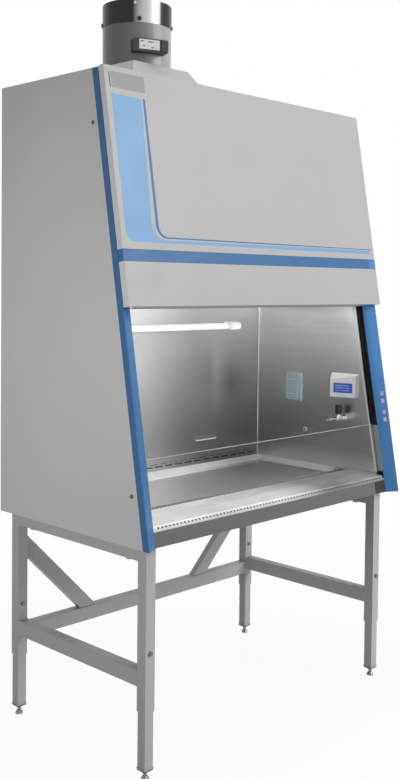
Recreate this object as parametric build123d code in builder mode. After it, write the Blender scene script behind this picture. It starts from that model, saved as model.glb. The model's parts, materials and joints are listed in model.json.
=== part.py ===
from build123d import *
import os
from math import atan2, cos, degrees, radians, sin, tan

os.makedirs("parts", exist_ok=True)

# ---------------------------------------------------------------------------
# Total-exhaust biosafety cabinet on an adjustable stand.  Millimetres.
# Origin: middle of the footprint, on the floor.  +Z up, -Y towards the user.
# ---------------------------------------------------------------------------

# ---- driving dimensions: cabinet body ----
WIDTH = 1300.0            # over the two side posts
DEPTH = 758.0             # rear skin to the posts' front edge at the underside
BASE_Z = 719.5            # underside of the cabinet above the floor
BODY_H = 1444.0           # underside to top skin
SLOPE = 9.83              # the front leans back from vertical, degrees
SKIN = 1.5                # outer casing sheet
BASE_SHEET = 2.0          # bottom sheet and front apron
FLANGE = 12.0             # side panels' inward fold behind the posts
FLANGE_SHORT = 1.0        # folds stop this far short of the sheets above and below
PAN_LAP = 0.5             # bottom sheet under the apron's foot
ROOF_GAP = 4.0            # roof sheet behind the side panels' folds

# ---- posts and front panels; a RISE is a height above the cabinet's underside ----
POST_SIDE = 28.0          # post, front edge to back
POST_FACE = 50.0          # how far the post reaches inward
POST_ROUND = 3.0          # rounding of the post's front edge
PANEL_PROUD = 22.7        # front panels stand this far in front of the posts
PANEL_GAP = 1.0           # clearance between the panels' back edges and the posts
PANEL_SHEET = 2.0
PANEL_ROUND = 3.0
FASCIA_RISE = 717.7       # lower edge of the fascia
STRIP_RISE = 853.2        # lower edge of the trim strip
STRIP_H = 35.9
PANEL_OVER = 5.5          # service panel stands above the top skin
PART_LINE = 0.8           # gap between front panels
BRACKET_OUT = 6.0         # blocks that seat the fixed panels on the posts, in from the side
BRACKET_IN = 24.0
BRACKET_L = 60.0

# ---- service panel hinges ----
HINGE_X = 450.0
HINGE_FRONT = 12.0        # hinge axis in front of the posts' front plane
HINGE_DROP = 7.6          # hinge axis below the panel's top edge, down the slope
HINGE_NOTCH = 2.2         # the panel's top fold is cut away this far round the hinge
PIN_R = 2.5
PIN_END = 1.0
KNUCKLE_R = 5.0
KNUCKLE_L = 40.0
EAR_T = 4.0
EAR_GAP = 0.6
ARM_T = 3.0
ARM_END = 58.0            # the arm ends this far behind the posts' front plane
ARM_BACK = 20.0           # its upright leaf behind the hinge axis, and its first bend
ARM_BEND = 11.0           # its slanted run below the roof
ARM_LAP = 4.0

# ---- work chamber ----
SIDE_SPACE = 50.0         # between a chamber wall and the outside, for the sash drive
WALL_SHEET = 1.5
WALL_FRONT = 62.0         # side walls start this far behind the posts' front plane
BAFFLE_GAP = 72.7         # rear baffle in front of the rear skin
BAFFLE_RISE = 10.5        # lower edge of the rear baffle
CEILING_RISE = 727.5      # underside of the air diffuser
APRON_H = 45.5            # height of the front apron
APRON_LIP = 14.0          # its fold under the front grille
TRAY_LIFT = 18.0          # tray's rim above the apron
TRAY_RIM = 18.0           # height of the coved rim
TRAY_COVE = 20.0          # width of the coved rim
TRAY_CORNER = 34.0        # radius of the rim's corners
TRAY_FLAT = 4.0           # flat edge round the rim
TRAY_STEP = 8.0           # recess of the work surface below the cove
STEP_IN = 2.0             # and its distance in from the cove
STEP_CORNER = 12.0
TRAY_FLOOR = 2.0
TRAY_FRONT = 229.0        # tray's front edge behind the posts' foot, along Y
TRAY_CLEAR = 1.5
PLENUM_GAP = 4.0          # plenum front behind the side walls' front
PLENUM_SHORT = 2.0
LEDGE = 10.0              # ledges on the side walls that carry the tray
LEDGE_T = 2.0
SLOT_PITCH = 53.0         # rear baffle exhaust slots
SLOT_LENGTH = 41.0
SLOT_H = 5.0
SLOT_LIFT = 14.0          # lower row above the tray's rim
SLOT_ROW_GAP = 10.0
HOLE_PITCH = 16.0         # intake slots in the front grille's nose
HOLE_W = 7.0
HOLE_H = 6.0
HOLE_MARGIN = 15.0        # solid nose at each end
NOSE_FOOT = 3.0           # upright foot of the nose above the apron
NOSE_RISE = 16.0          # top of the nose above the apron
NOSE_DEPTH = 11.6         # and behind its foot
CREST_RISE = 23.0         # crest of the airfoil above the apron
CREST_BACK = 112.0        # behind the posts' foot
FALL_RISE = 13.0          # rear edge of the grille above the apron
FALL_GAP = 6.0            # and in front of the tray
GRILLE_END = 1.0          # gap at each end of the grille
VENT_ROWS = 12            # slots in the diffuser
VENT_PITCH = 34.0
VENT_H = 8.0
VENT_EDGE = 25.0
END_BLOCK_W = 65.0        # black block between the apron and the right post

# ---- sash; a distance ending in U is measured up the slope ----
GLASS_T = 6.4
GLASS_H = 690.0
GLASS_BEHIND = 44.8       # glass front face behind the posts' front plane
SASH_RISE = 252.5         # lower edge of the glass at working height
EDGE_W = 14.0             # black edge strips on the glass
EDGE_OVER = 6.0           # strip outside the glass edge
EDGE_T = 12.0
TOP_BAR = 20.0
LIP_GAP = 4.0             # fascia's lip in front of the edge strips
GUIDE_CLEAR = 0.5
GUIDE_WEB = 4.0
GUIDE_FACE = 7.0          # thickness of the guide's front strip
GUIDE_SIDE = 3.0          # front strip starts this far outside the chamber wall
GUIDE_REAR = 10.5         # width of the rear strip
GUIDE_LIP = 8.0
GUIDE_LIFT = 4.0          # foot of the guides above the grille's crest
GUIDE_TOP_U = 1290.0
GUIDE_SLOT_U = 680.0      # above this the guide is open for the belt carriers
CARRIER_U = 880.0
CARRIER_L = 50.0
CARRIER_OVER = 3.0        # carrier outside the belt
CARRIER_IN = 2.0          # and inside the edge strip's faces
BELT_LOW_U = 620.0        # lower pulley
BELT_HIGH_U = 1380.0      # upper pulley
BELT_BEHIND = 92.0        # pulley axis behind the posts' front plane
BELT_OUT = 19.0           # inner edge of the belt outside the chamber wall
BELT_W = 12.0
BELT_T = 2.4
BELT_R = 20.8             # inner radius of the belt on a pulley
PULLEY_CLEAR = 0.3
PULLEY_FLANGE = 1.5
FLANGE_GAP = 0.5
FLANGE_OVER = 1.0         # flange stands above the belt
SHAFT_R = 6.0
SHAFT_END = 2.0
SHAFT_CLEAR = 0.05
BOSS_R = 12.0
BOSS_L = 10.0
IDLER_R = 5.0
STUD_END = 0.5
STUD_HEAD_R = 8.0
STUD_HEAD_T = 3.0
COUNTER_L = 405.0         # counterweights
COUNTER_T = 60.0
COUNTER_U = 760.0         # lower end at rest
COUNTER_CLEAR = 5.0
COUNTER_EDGE = 6.0
CLAMP_L = 8.0             # between the belt and the counterweight
CLAMP_IN = 1.0            # clamp narrower than the belt, each side

# ---- stand ----
LEG_IN = 62.0             # leg axis in from the side
LEG_FRONT = 78.8          # front leg axis behind the posts' foot
LEG_REAR = 26.2           # rear leg axis in front of the rear skin
LEG_TUBE = 38.1
LEG_WALL = 1.9
LEG_BOTTOM = 211.0
INNER_TUBE = 33.5
INNER_WALL = 1.8
INNER_BOTTOM = 38.3
INNER_TOP = 470.0
CAP_T = 5.0
CAP_W = 36.5
RAIL_H = 50.8
RAIL_W = 38.1
RAIL_EDGE = 1.5
LOW_RAIL_Z = 285.0        # underside of the lower side rails
REAR_RAIL_Z = 265.0       # underside of the rear rail
BRACE_RUN = 277.0         # how far a brace's foot stands from the leg
BRACE_W = 50.8
BRACE_T = 25.4
WELD = 0.1                # welded pieces of the stand are kept apart by this
LOCK_BOLT_Z = 391.0
BOLT_R = 4.0
HEAD_R = 7.5
HEAD_H = 5.5
BOLT_GAP = 0.3
CABINET_BOLT_R = 11.0     # heads under the upper rails
CABINET_BOLT_H = 7.0
CABINET_BOLT_Y = 80.0     # inward from the leg
STUD_R = 6.0
STUD_L = 80.0
FOOT_R = 13.0
FOOT_EDGE = 5.0
FOOT_H = 12.0
FOOT_LEAN = 35.0          # its top falls away, degrees from upright
NUT_R = 11.0
NUT_H = 8.0
NUT_GAP = 1.5
SIDES = 12                # small round pieces that repeat have this many sides

# ---- exhaust; a LIFT is a height above the top skin ----
DUCT_X = -171.0
DUCT_BACK = 148.0         # duct axis in front of the rear skin
DUCT_R = 125.0            # outside of the duct stub
DUCT_SHEET = 1.2
DUCT_LIFT = 338.5         # top of the duct stub
STUB_LIFT = 258.5         # lower edge of the duct stub
COLLAR_LIFT = 276.5       # top of the collar inside it
HOOD_LIFT = 112.5         # top of the tapered transition
HOOD_HALF = 131.0         # half side of its square top
HOOD_FLARE = 71.0         # spread from top to foot
HOLE_EDGE = 12.0          # roof sheet left inside the transition's top
SENSOR_TURN = 22.0        # flow sensor box on the collar, turned towards -X, degrees
SENSOR_LIFT = 173.5
SENSOR_W = 122.0
SENSOR_H = 46.0
SENSOR_D = 30.0
SENSOR_SEAT = 16.0        # reach of its saddle round the collar
SENSOR_ROUND = 3.0

# ---- filters and blower ----
FILTER_T = 140.0
FILTER_FRAME = 18.0
FILTER_FRONT = 8.0        # supply filter behind the plenum's front
FILTER_REAR = 4.0         # and in front of the baffle
FILTER_EDGE = 10.0        # pleat pack inside the frame's height
FILTER_CLEAR = 38.5       # exhaust filter behind the synchronising shaft's pulleys
FILTER_SIDE = 40.0        # exhaust filter outside the transition's foot
FILTER_BACK = 10.0
FOLD_H = 12.0
PLEAT_COUNT = 20
COVER_EDGE = 30.0         # plenum access covers
COVER_SIDE = 50.0
COVER_H = 360.0
COVER_T = 2.0
COVER_LOW = 90.0
FAN_X = 300.0
FAN_CLEAR = 18.9          # blower mounting plate behind the synchronising shaft
FAN_BACK = 17.5           # and in front of the rear skin
FAN_R = 155.0
FAN_INLET_R = 106.0
INLET_WALL = 2.0
INLET_LIP = 22.0
PLATE_POST = 20.0         # square posts that hang the blower from the roof
POST_EDGE = 3.0
MOTOR_RISE = 1060.5       # motor plate
MOTOR_PLATE_T = 4.0
SPIDER = 45.0             # rim of the motor plate
SPIDER_ARM = 80.0
INLET_RISE = 1325.5       # inlet plate
INLET_PLATE_T = 3.0
MOTOR_R = 68.0
MOTOR_H = 112.0
MOTOR_SHAFT_R = 9.0
MOTOR_SHAFT_L = 60.0
DISC_T = 3.0
DISC_GAP = 12.0
HUB_R = 24.0
HUB_L = 44.0
BLADE_COUNT = 7
BLADE_IN = 78.0
BLADE_SWEEP = 48.0        # the blades lean back by this turn from root to tip, degrees
BLADE_T = 2.5
BLADE_EDGE = 3.0
BLADE_CLEAR = 34.0
ROOF_SLOT_L = 230.0       # cooling slots over the blower
ROOF_SLOT_H = 9.0
ROOF_SLOT_PITCH = 22.0
ROOF_SLOTS = 11

# ---- controls and services ----
KEY_L = 16.0
KEY_W = 13.0
KEY_T = 3.0
KEY_PROUD = 1.0
KEY_CLEAR = 0.3
KEY_TRAVEL = 0.8
KEY_EDGE = 0.6
KEY_RISES = (372.5, 343.5, 302.5, 273.5)
KEY_INSET = 10.5          # middle of the keys behind the posts' front plane
OUTLET_Y = 97.5
OUTLET_RISE = 371.5       # middle of the outlet plate
PLATE_W = 70.0
PLATE_H = 114.0
PLATE_T = 6.0
SOCKET_W = 32.0
SOCKET_H = 28.0
SOCKET_PITCH = 42.0
SOCKET_T = 2.0
BLADE_PITCH = 12.0        # blade and earth holes of a socket
BLADE_HOLE = (2.0, 8.0)
BLADE_RISE = 3.0
EARTH_HOLE = 4.5
EARTH_DROP = 7.0
HINGE_PIN_R = 2.0
BARREL_R = 3.5
BARREL_OUT = 6.0          # cover hinge axis in front of the outlet plate
BARREL_HALF = 41.0
BARREL_END = 5.0
BARREL_GAP = 0.5
COVER_DEEP = 16.0
COVER_SHEET = 2.0
COVER_GAP = 0.6
COVER_IN = 4.0            # cover narrower than the plate
COVER_ROUND = 8.0
MONITOR_RISE = 349.5      # underside of the monitor
MONITOR_Y0 = -219.0
MONITOR_Y1 = -89.0
MONITOR_H = 92.0
MONITOR_REAR_OUT = 44.0   # its slanted face, from the wall
MONITOR_REAR_IN = 24.0
MONITOR_FRONT_OUT = 15.0
MONITOR_FRONT_IN = 4.0
MONITOR_TOP_DROP = 23.0   # top falls away from the wall
SCREEN_BEZEL = 13.0
SCREEN_H = 40.0
SCREEN_LOW = 16.0
SCREEN_DEEP = 2.0
PETCOCK_Y = -148.0
PETCOCK_RISE = 265.5
PETCOCK_STEM = 32.0       # valve stem from the wall
STEM_R = 4.0
STEM_L = 46.0
NECK_R = 9.0
NECK_L = 16.0
KNOB_R = 14.0
KNOB_L = 37.0
KNOB_BORE_L = 30.5
KNOB_GAP = 0.4
KNOB_EDGE = 3.0
ROSE_R = 20.0             # flange on the wall
ROSE_T = 6.0
VALVE_R = 11.0
VALVE_L = 48.0
BARB_R = 8.0              # hose barbs, foot to tip
BARB_TIP_R = 4.5
BARB_L = 32.5
BARBS = 2
UV_RISE = 618.5
UV_R = 13.0
UV_LENGTH = 890.0
UV_X = -25.0
UV_OFF = 36.0             # lamp axis in front of the baffle
LAMP_SOCKET_L = 45.0
LAMP_SOCKET_OVER = 12.0
LAMP_SOCKET_WALL = 3.0
LIGHT_U = 792.0           # work light behind the fascia
LIGHT_INSET = 50.0        # its ends, in from the chamber walls
LIGHT_HALF_W = 24.0
LIGHT_FLARE = 6.0
LIGHT_DEEP = 16.0
LIGHT_SHEET = 2.0
TUBE_R = 8.0
TUBE_INSET = 10.0
CONTROL_U = 1375.0        # electrics box on the plenum's front
CONTROL_IN = 50.0
CONTROL_W = 400.0
CONTROL_H = 110.0
CONTROL_D = 52.0
CONTROL_EDGE = 3.0
INLET_X = 560.0           # mains inlet on the roof
INLET_Y = 300.0
INLET_W = 70.0
INLET_D = 60.0
INLET_H = 34.0
INLET_EDGE = 3.0
RECESS_W = 27.0
RECESS_H = 20.0
RECESS_D = 18.0
PIN_PITCH = 8.0
PIN_SIZE = (2.0, 5.0)
PIN_L = 13.0

# ---- places worked out from the above ----
TOP_Z = BASE_Z + BODY_H
HALF = WIDTH / 2
WALL_X = HALF - SIDE_SPACE
CHAMBER_W = 2 * WALL_X
LEG_X = HALF - LEG_IN
BELT_X = WALL_X + BELT_OUT
FASCIA_Z = BASE_Z + FASCIA_RISE
STRIP_Z = BASE_Z + STRIP_RISE
CEILING_Z = BASE_Z + CEILING_RISE
APRON_TOP = BASE_Z + APRON_H
TRAY_TOP = APRON_TOP + TRAY_LIFT
NOSE_Z = APRON_TOP + NOSE_RISE
CREST_Z = APRON_TOP + CREST_RISE
FALL_Z = APRON_TOP + FALL_RISE
KEY_HEIGHTS = [BASE_Z + rise for rise in KEY_RISES]
OUTLET_Z = BASE_Z + OUTLET_RISE
MONITOR_Z = BASE_Z + MONITOR_RISE
PETCOCK_Z = BASE_Z + PETCOCK_RISE
UV_Z = BASE_Z + UV_RISE
DUCT_TOP = TOP_Z + DUCT_LIFT
STUB_Z = TOP_Z + STUB_LIFT
HOOD_TOP = TOP_Z + HOOD_LIFT
SENSOR_Z = TOP_Z + SENSOR_LIFT
COLLAR_R = DUCT_R - DUCT_SHEET
COS = cos(radians(SLOPE))
SIN = sin(radians(SLOPE))
TAN = tan(radians(SLOPE))
# the rounding takes the post's sharp front edge back by POST_TIP
POST_TIP = POST_ROUND * (1 / tan(atan2(POST_FACE, POST_SIDE / COS) / 2) - 1)
Y_FRONT = -DEPTH / 2 - POST_TIP
Y_REAR = DEPTH / 2
OUTWARD = Vector(0, -COS, SIN)
UP_SLOPE = Vector(0, SIN, COS)
# across the front: x to the right, y up the slope, z outward
FACE = Plane(origin=(0, Y_FRONT, BASE_Z), x_dir=(1, 0, 0), z_dir=OUTWARD)
# seen from the right side: x up the slope, y outward, z along +X
SIDE = Plane(origin=(0, Y_FRONT, BASE_Z), x_dir=UP_SLOPE, z_dir=(1, 0, 0))
BAFFLE_Y = Y_REAR - BAFFLE_GAP - WALL_SHEET
SASH_U = (SASH_RISE + GLASS_BEHIND * SIN) / COS
PLENUM_BEHIND = WALL_FRONT + PLENUM_GAP
SHAFT_Y = Y_FRONT + BELT_HIGH_U * SIN + BELT_BEHIND * COS
BOTTOM_UP = (Align.CENTER, Align.CENTER, Align.MIN)
TOP_DOWN = (Align.CENTER, Align.CENTER, Align.MAX)


def front_y(z, behind=0.0):
    """Y of the plane that lies `behind` the posts' front plane, at height z."""
    return Y_FRONT + (z - BASE_Z) * TAN + behind / COS


def along(z, behind=0.0):
    """Distance up the slope at height z on the plane `behind` the posts' front."""
    return (z - BASE_Z + behind * SIN) / COS


def save(piece, label):
    """Label a finished piece and write its STEP file."""
    save_shape(piece.part, label)


def save_shape(shape, label):
    """Label a shape and write its STEP file."""
    shape.label = label
    export_step(shape, f"parts/{label}.step")


# ---------------------------------------------------------------------------
# Stand
# ---------------------------------------------------------------------------
LEG_Y = {"f": Y_FRONT + LEG_FRONT, "r": Y_REAR - LEG_REAR}
LEG_SPOTS = [(sx * LEG_X, y) for sx in (-1, 1) for y in LEG_Y.values()]

with BuildPart() as stand_legs:
    with BuildSketch(Plane.XY.offset(LEG_BOTTOM)):
        with Locations(*LEG_SPOTS):
            Rectangle(LEG_TUBE, LEG_TUBE)
            Rectangle(LEG_TUBE - 2 * LEG_WALL, LEG_TUBE - 2 * LEG_WALL, mode=Mode.SUBTRACT)
    extrude(amount=BASE_Z - LEG_BOTTOM)
    for leg_x, leg_y in LEG_SPOTS:
        with BuildSketch(Plane(origin=(leg_x, leg_y - LEG_TUBE / 2, LOCK_BOLT_Z), z_dir=(0, 1, 0))):
            RegularPolygon(BOLT_R, SIDES)
        extrude(amount=2 * LEG_WALL, mode=Mode.SUBTRACT)
save(stand_legs, "stand_legs")

rail_gap = LEG_Y["r"] - LEG_Y["f"] - LEG_TUBE
rail_mid = (LEG_Y["r"] + LEG_Y["f"]) / 2
rail_spots = [(sx * LEG_X, z + RAIL_H / 2) for sx in (-1, 1) for z in (LOW_RAIL_Z, BASE_Z - RAIL_H)]
with BuildSketch() as rail_section:
    Rectangle(RAIL_W, RAIL_H)
    chamfer(rail_section.vertices(), RAIL_EDGE)
    Rectangle(RAIL_W - 2 * LEG_WALL, RAIL_H - 2 * LEG_WALL, mode=Mode.SUBTRACT)
with BuildPart() as stand_side_rails:
    with BuildSketch(Plane.XZ.offset(-rail_mid - rail_gap / 2)):
        with Locations(*rail_spots):
            add(rail_section.sketch)
    extrude(amount=rail_gap)
save(stand_side_rails, "stand_side_rails")

rear_span = 2 * LEG_X - LEG_TUBE
brace_top = rear_span / 2 - WELD
brace_foot = brace_top - BRACE_RUN
brace_reach = BRACE_W / (2 * cos(radians(45)))
with BuildPart() as stand_rear_frame:
    with BuildSketch(Plane.YZ.offset(-rear_span / 2)):
        with Locations((LEG_Y["r"], REAR_RAIL_Z + RAIL_H / 2)):
            add(rail_section.sketch)
    extrude(amount=rear_span)
    rail_top = REAR_RAIL_Z + RAIL_H + WELD
    with BuildSketch(Plane.XZ.offset(-LEG_Y["r"] - BRACE_T / 2)) as brace_outline:
        with BuildLine():
            Polyline(
                (brace_foot - brace_reach, rail_top),
                (brace_foot + brace_reach, rail_top),
                (brace_top, rail_top + BRACE_RUN - brace_reach),
                (brace_top, rail_top + BRACE_RUN + brace_reach),
                close=True,
            )
        make_face()
        mirror(about=Plane.YZ)
    extrude(amount=BRACE_T)
save(stand_rear_frame, "stand_rear_frame")

with BuildPart() as stand_bolts:
    for leg_x, leg_y in LEG_SPOTS:
        face_y = leg_y - LEG_TUBE / 2
        with BuildSketch(Plane(origin=(leg_x, face_y, LOCK_BOLT_Z), z_dir=(0, -1, 0))):
            RegularPolygon(HEAD_R, 6)
        extrude(amount=HEAD_H)
        with BuildSketch(Plane(origin=(leg_x, face_y, LOCK_BOLT_Z), z_dir=(0, 1, 0))):
            RegularPolygon(BOLT_R, SIDES)
        extrude(amount=(LEG_TUBE - INNER_TUBE) / 2 - BOLT_GAP)
        bolt_y = leg_y + (CABINET_BOLT_Y if leg_y < 0 else -CABINET_BOLT_Y)
        with BuildSketch(Plane.XY.offset(BASE_Z - RAIL_H)):
            with Locations((leg_x, bolt_y)):
                RegularPolygon(CABINET_BOLT_R, 6)
        extrude(amount=-CABINET_BOLT_H)
save(stand_bolts, "stand_bolts")

for row, leg_y in LEG_Y.items():
    for side, leg_x in (("l", -LEG_X), ("r", LEG_X)):
        with BuildPart() as leg_inner:
            with BuildSketch(Plane.XY.offset(INNER_BOTTOM)):
                with Locations((leg_x, leg_y)):
                    Rectangle(INNER_TUBE, INNER_TUBE)
                    inner_bore = INNER_TUBE - 2 * INNER_WALL
                    Rectangle(inner_bore, inner_bore, mode=Mode.SUBTRACT)
            extrude(amount=INNER_TOP - INNER_BOTTOM)
            with BuildSketch(Plane.XY.offset(INNER_BOTTOM - CAP_T)):
                with Locations((leg_x, leg_y)):
                    Rectangle(CAP_W, CAP_W)
                    Circle(STUD_R + SHAFT_CLEAR, mode=Mode.SUBTRACT)
            extrude(amount=CAP_T)
        save(leg_inner, f"leg_inner_{row}{side}")

        with BuildPart() as foot:
            with BuildSketch():
                with Locations((leg_x, leg_y)):
                    RegularPolygon(FOOT_R, SIDES)
            extrude(amount=FOOT_EDGE)
            with BuildSketch(Plane.XY.offset(FOOT_EDGE)):
                with Locations((leg_x, leg_y)):
                    RegularPolygon(FOOT_R, SIDES)
            extrude(amount=FOOT_H - FOOT_EDGE, taper=FOOT_LEAN)
            with BuildSketch(Plane.XY.offset(FOOT_H)):
                with Locations((leg_x, leg_y)):
                    RegularPolygon(STUD_R, SIDES)
            extrude(amount=STUD_L)
            with BuildSketch(Plane.XY.offset(INNER_BOTTOM - CAP_T - NUT_GAP - NUT_H)):
                with Locations((leg_x, leg_y)):
                    RegularPolygon(NUT_R, 6)
            extrude(amount=NUT_H)
        save(foot, f"foot_{row}{side}")

# ---------------------------------------------------------------------------
# Casing
# ---------------------------------------------------------------------------
inside = HALF - SKIN
back_inside = Y_REAR - SKIN

apron_left = -WALL_X
apron_right = WALL_X - END_BLOCK_W
with BuildPart() as base_pan:
    pan_front = front_y(BASE_Z, POST_SIDE + BASE_SHEET - PAN_LAP)
    with BuildSketch(Plane.XY.offset(BASE_Z)):
        with Locations((0, (pan_front + back_inside) / 2)):
            Rectangle(2 * inside, back_inside - pan_front)
    extrude(amount=BASE_SHEET)
    with BuildSketch(Plane.YZ.offset(apron_left)):
        with BuildLine():
            Polyline(
                (front_y(BASE_Z, POST_SIDE), BASE_Z),
                (front_y(APRON_TOP, POST_SIDE), APRON_TOP),
                (front_y(APRON_TOP, POST_SIDE + APRON_LIP), APRON_TOP),
                (front_y(APRON_TOP, POST_SIDE + APRON_LIP), APRON_TOP - BASE_SHEET),
                (front_y(APRON_TOP, POST_SIDE + BASE_SHEET), APRON_TOP - BASE_SHEET),
                (front_y(BASE_Z, POST_SIDE + BASE_SHEET), BASE_Z),
                close=True,
            )
        make_face()
    extrude(amount=apron_right - apron_left)
save(base_pan, "base_pan")

for side, name in ((-1, "left"), (1, "right")):
    with BuildPart() as side_panel:
        with BuildSketch(Plane.YZ.offset(side * HALF if side < 0 else inside)):
            with BuildLine():
                Polyline(
                    (front_y(BASE_Z, POST_SIDE), BASE_Z),
                    (Y_REAR, BASE_Z),
                    (Y_REAR, TOP_Z),
                    (front_y(TOP_Z, POST_SIDE), TOP_Z),
                    close=True,
                )
            make_face()
        extrude(amount=SKIN)
        flange_low = along(BASE_Z + BASE_SHEET, POST_SIDE) + FLANGE_SHORT
        flange_high = along(TOP_Z - SKIN, POST_SIDE) - FLANGE_SHORT
        with BuildSketch(FACE.offset(-POST_SIDE - SKIN)):
            with Locations((side * (inside - FLANGE / 2), (flange_low + flange_high) / 2)):
                Rectangle(FLANGE, flange_high - flange_low)
        extrude(amount=SKIN)
    save(side_panel, f"side_panel_{name}")

with BuildPart() as rear_panel:
    with BuildSketch(Plane.XZ.offset(-Y_REAR)):
        with Locations((0, (BASE_Z + TOP_Z) / 2)):
            Rectangle(2 * inside, BODY_H)
    extrude(amount=SKIN)
save(rear_panel, "rear_panel")

duct_y = Y_REAR - DUCT_BACK
hood_low = HOOD_HALF + HOOD_FLARE
# the blower's square plates take the depth between the sash drive and the rear skin
plate_front = SHAFT_Y + SHAFT_R + FAN_CLEAR
plate = back_inside - FAN_BACK - plate_front
fan_y = plate_front + plate / 2
with BuildPart() as top_panel:
    top_front = front_y(TOP_Z, POST_SIDE + SKIN + ROOF_GAP)
    with BuildSketch(Plane.XY.offset(TOP_Z - SKIN)):
        with Locations((0, (top_front + back_inside) / 2)):
            Rectangle(2 * inside, back_inside - top_front)
        with Locations((DUCT_X, duct_y)):
            Rectangle(2 * HOOD_HALF - HOLE_EDGE, 2 * HOOD_HALF - HOLE_EDGE, mode=Mode.SUBTRACT)
        with Locations((FAN_X, fan_y)):
            with GridLocations(0, ROOF_SLOT_PITCH, 1, ROOF_SLOTS):
                Rectangle(ROOF_SLOT_L, ROOF_SLOT_H, mode=Mode.SUBTRACT)
    extrude(amount=SKIN)
save(top_panel, "top_panel")

# ---- blue side posts; the right one carries the keys ----
post_face_dir = Vector(POST_FACE, 0, 0) + OUTWARD * POST_SIDE
post_normal = UP_SLOPE.cross(post_face_dir).normalized()
if post_normal.dot(OUTWARD) < 0:
    post_normal = post_normal * -1


def key_plane(height):
    """Plane on the right post's inner face, middle of a key at this height."""
    across = HALF - KEY_INSET * POST_FACE / POST_SIDE
    centre = Vector(across, front_y(height, KEY_INSET), height)
    return Plane(origin=centre, x_dir=post_face_dir.normalized(), z_dir=post_normal)


for side, name in ((-1, "left"), (1, "right")):
    with BuildPart() as post:
        with BuildSketch(Plane.XY.offset(BASE_Z)) as section:
            with BuildLine():
                Polyline(
                    (side * HALF, Y_FRONT),
                    (side * HALF, front_y(BASE_Z, POST_SIDE)),
                    (side * (HALF - POST_FACE), front_y(BASE_Z, POST_SIDE)),
                    close=True,
                )
            make_face()
            fillet(section.vertices().sort_by(Axis.Y)[0], POST_ROUND)
        extrude(amount=BODY_H / COS, dir=UP_SLOPE)
        if side > 0:
            for height in KEY_HEIGHTS:
                with BuildSketch(key_plane(height)):
                    Rectangle(KEY_W + 2 * KEY_CLEAR, KEY_L + 2 * KEY_CLEAR)
                extrude(amount=-(KEY_T - KEY_PROUD + KEY_TRAVEL + KEY_CLEAR), mode=Mode.SUBTRACT)
    save(post, f"post_{name}")

for number, height in enumerate(KEY_HEIGHTS, start=1):
    with BuildPart() as key:
        with BuildSketch(key_plane(height).offset(KEY_PROUD - KEY_T)):
            Rectangle(KEY_W, KEY_L)
        extrude(amount=KEY_T)
        chamfer(key.faces().sort_by(Axis(key_plane(height).origin, post_normal))[-1].edges(), KEY_EDGE)
    save(key, f"key_{number}")

# ---- front panels: folded pans with returned edges ----
strip_low = along(STRIP_Z, -PANEL_PROUD)
strip_high = along(STRIP_Z + STRIP_H, -PANEL_PROUD)
fascia_low = along(FASCIA_Z, -PANEL_PROUD)
panel_high = along(TOP_Z + PANEL_OVER, -PANEL_PROUD)


def front_pan(low, high):
    """A pan across both posts, from `low` to `high` up the slope, open at the back."""
    with BuildPart() as pan:
        with BuildSketch(FACE):
            with Locations((0, (low + high) / 2)):
                Rectangle(WIDTH, high - low)
        extrude(amount=PANEL_PROUD)
        with BuildSketch(FACE):
            Rectangle(3 * WIDTH, 3 * BODY_H)
        extrude(amount=PANEL_GAP, mode=Mode.SUBTRACT)
        outer = pan.faces().sort_by(Axis((0, 0, 0), OUTWARD))[-1]
        fillet(outer.edges().sort_by(Axis.X)[0], PANEL_ROUND)
        outer = pan.faces().sort_by(Axis((0, 0, 0), OUTWARD))[-1]
        fillet(outer.edges().sort_by(Axis.X)[-1], PANEL_ROUND)
        with BuildSketch(FACE):
            with Locations((0, (low + high) / 2)):
                Rectangle(WIDTH - 2 * PANEL_SHEET, high - low - 2 * PANEL_SHEET)
        extrude(amount=PANEL_PROUD - PANEL_SHEET, mode=Mode.SUBTRACT)
    return pan.part


def post_bracket(side, low, high):
    """Block inside a front pan that seats on the slanted face of a post."""
    near_x = HALF - BRACKET_OUT
    far_x = HALF - BRACKET_IN
    front_b = -(PANEL_PROUD - PANEL_SHEET)
    rise = POST_SIDE / POST_FACE
    with BuildPart() as block:
        with BuildSketch(Plane(origin=FACE.origin + UP_SLOPE * low, x_dir=(1, 0, 0), z_dir=UP_SLOPE)):
            with BuildLine():
                Polyline(
                    (side * near_x, front_b),
                    (side * near_x, (HALF - near_x) * rise),
                    (side * far_x, (HALF - far_x) * rise),
                    (side * far_x, front_b),
                    close=True,
                )
            make_face()
        extrude(amount=high - low)
    return block.part


hinge_u = panel_high - HINGE_DROP
ear_near = KNUCKLE_L / 2 + EAR_GAP
inner_front = PANEL_PROUD - PANEL_SHEET
with BuildPart() as service_panel:
    add(front_pan(strip_high + PART_LINE, panel_high))
    for hinge_x in (-HINGE_X, HINGE_X):
        with BuildSketch(FACE):
            with Locations((hinge_x, panel_high)):
                Rectangle(2 * (ear_near + EAR_T + HINGE_NOTCH), 2 * HINGE_NOTCH)
        extrude(amount=inner_front, mode=Mode.SUBTRACT)
        for ear_x in (hinge_x - ear_near - EAR_T, hinge_x + ear_near):
            with BuildSketch(SIDE.offset(ear_x)):
                with Locations((hinge_u, (inner_front + HINGE_FRONT) / 2)):
                    Rectangle(2 * KNUCKLE_R, inner_front - HINGE_FRONT)
                with Locations((hinge_u, HINGE_FRONT)):
                    Circle(KNUCKLE_R)
                    Circle(PIN_R + SHAFT_CLEAR, mode=Mode.SUBTRACT)
            extrude(amount=EAR_T)
save(service_panel, "service_panel")

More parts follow.
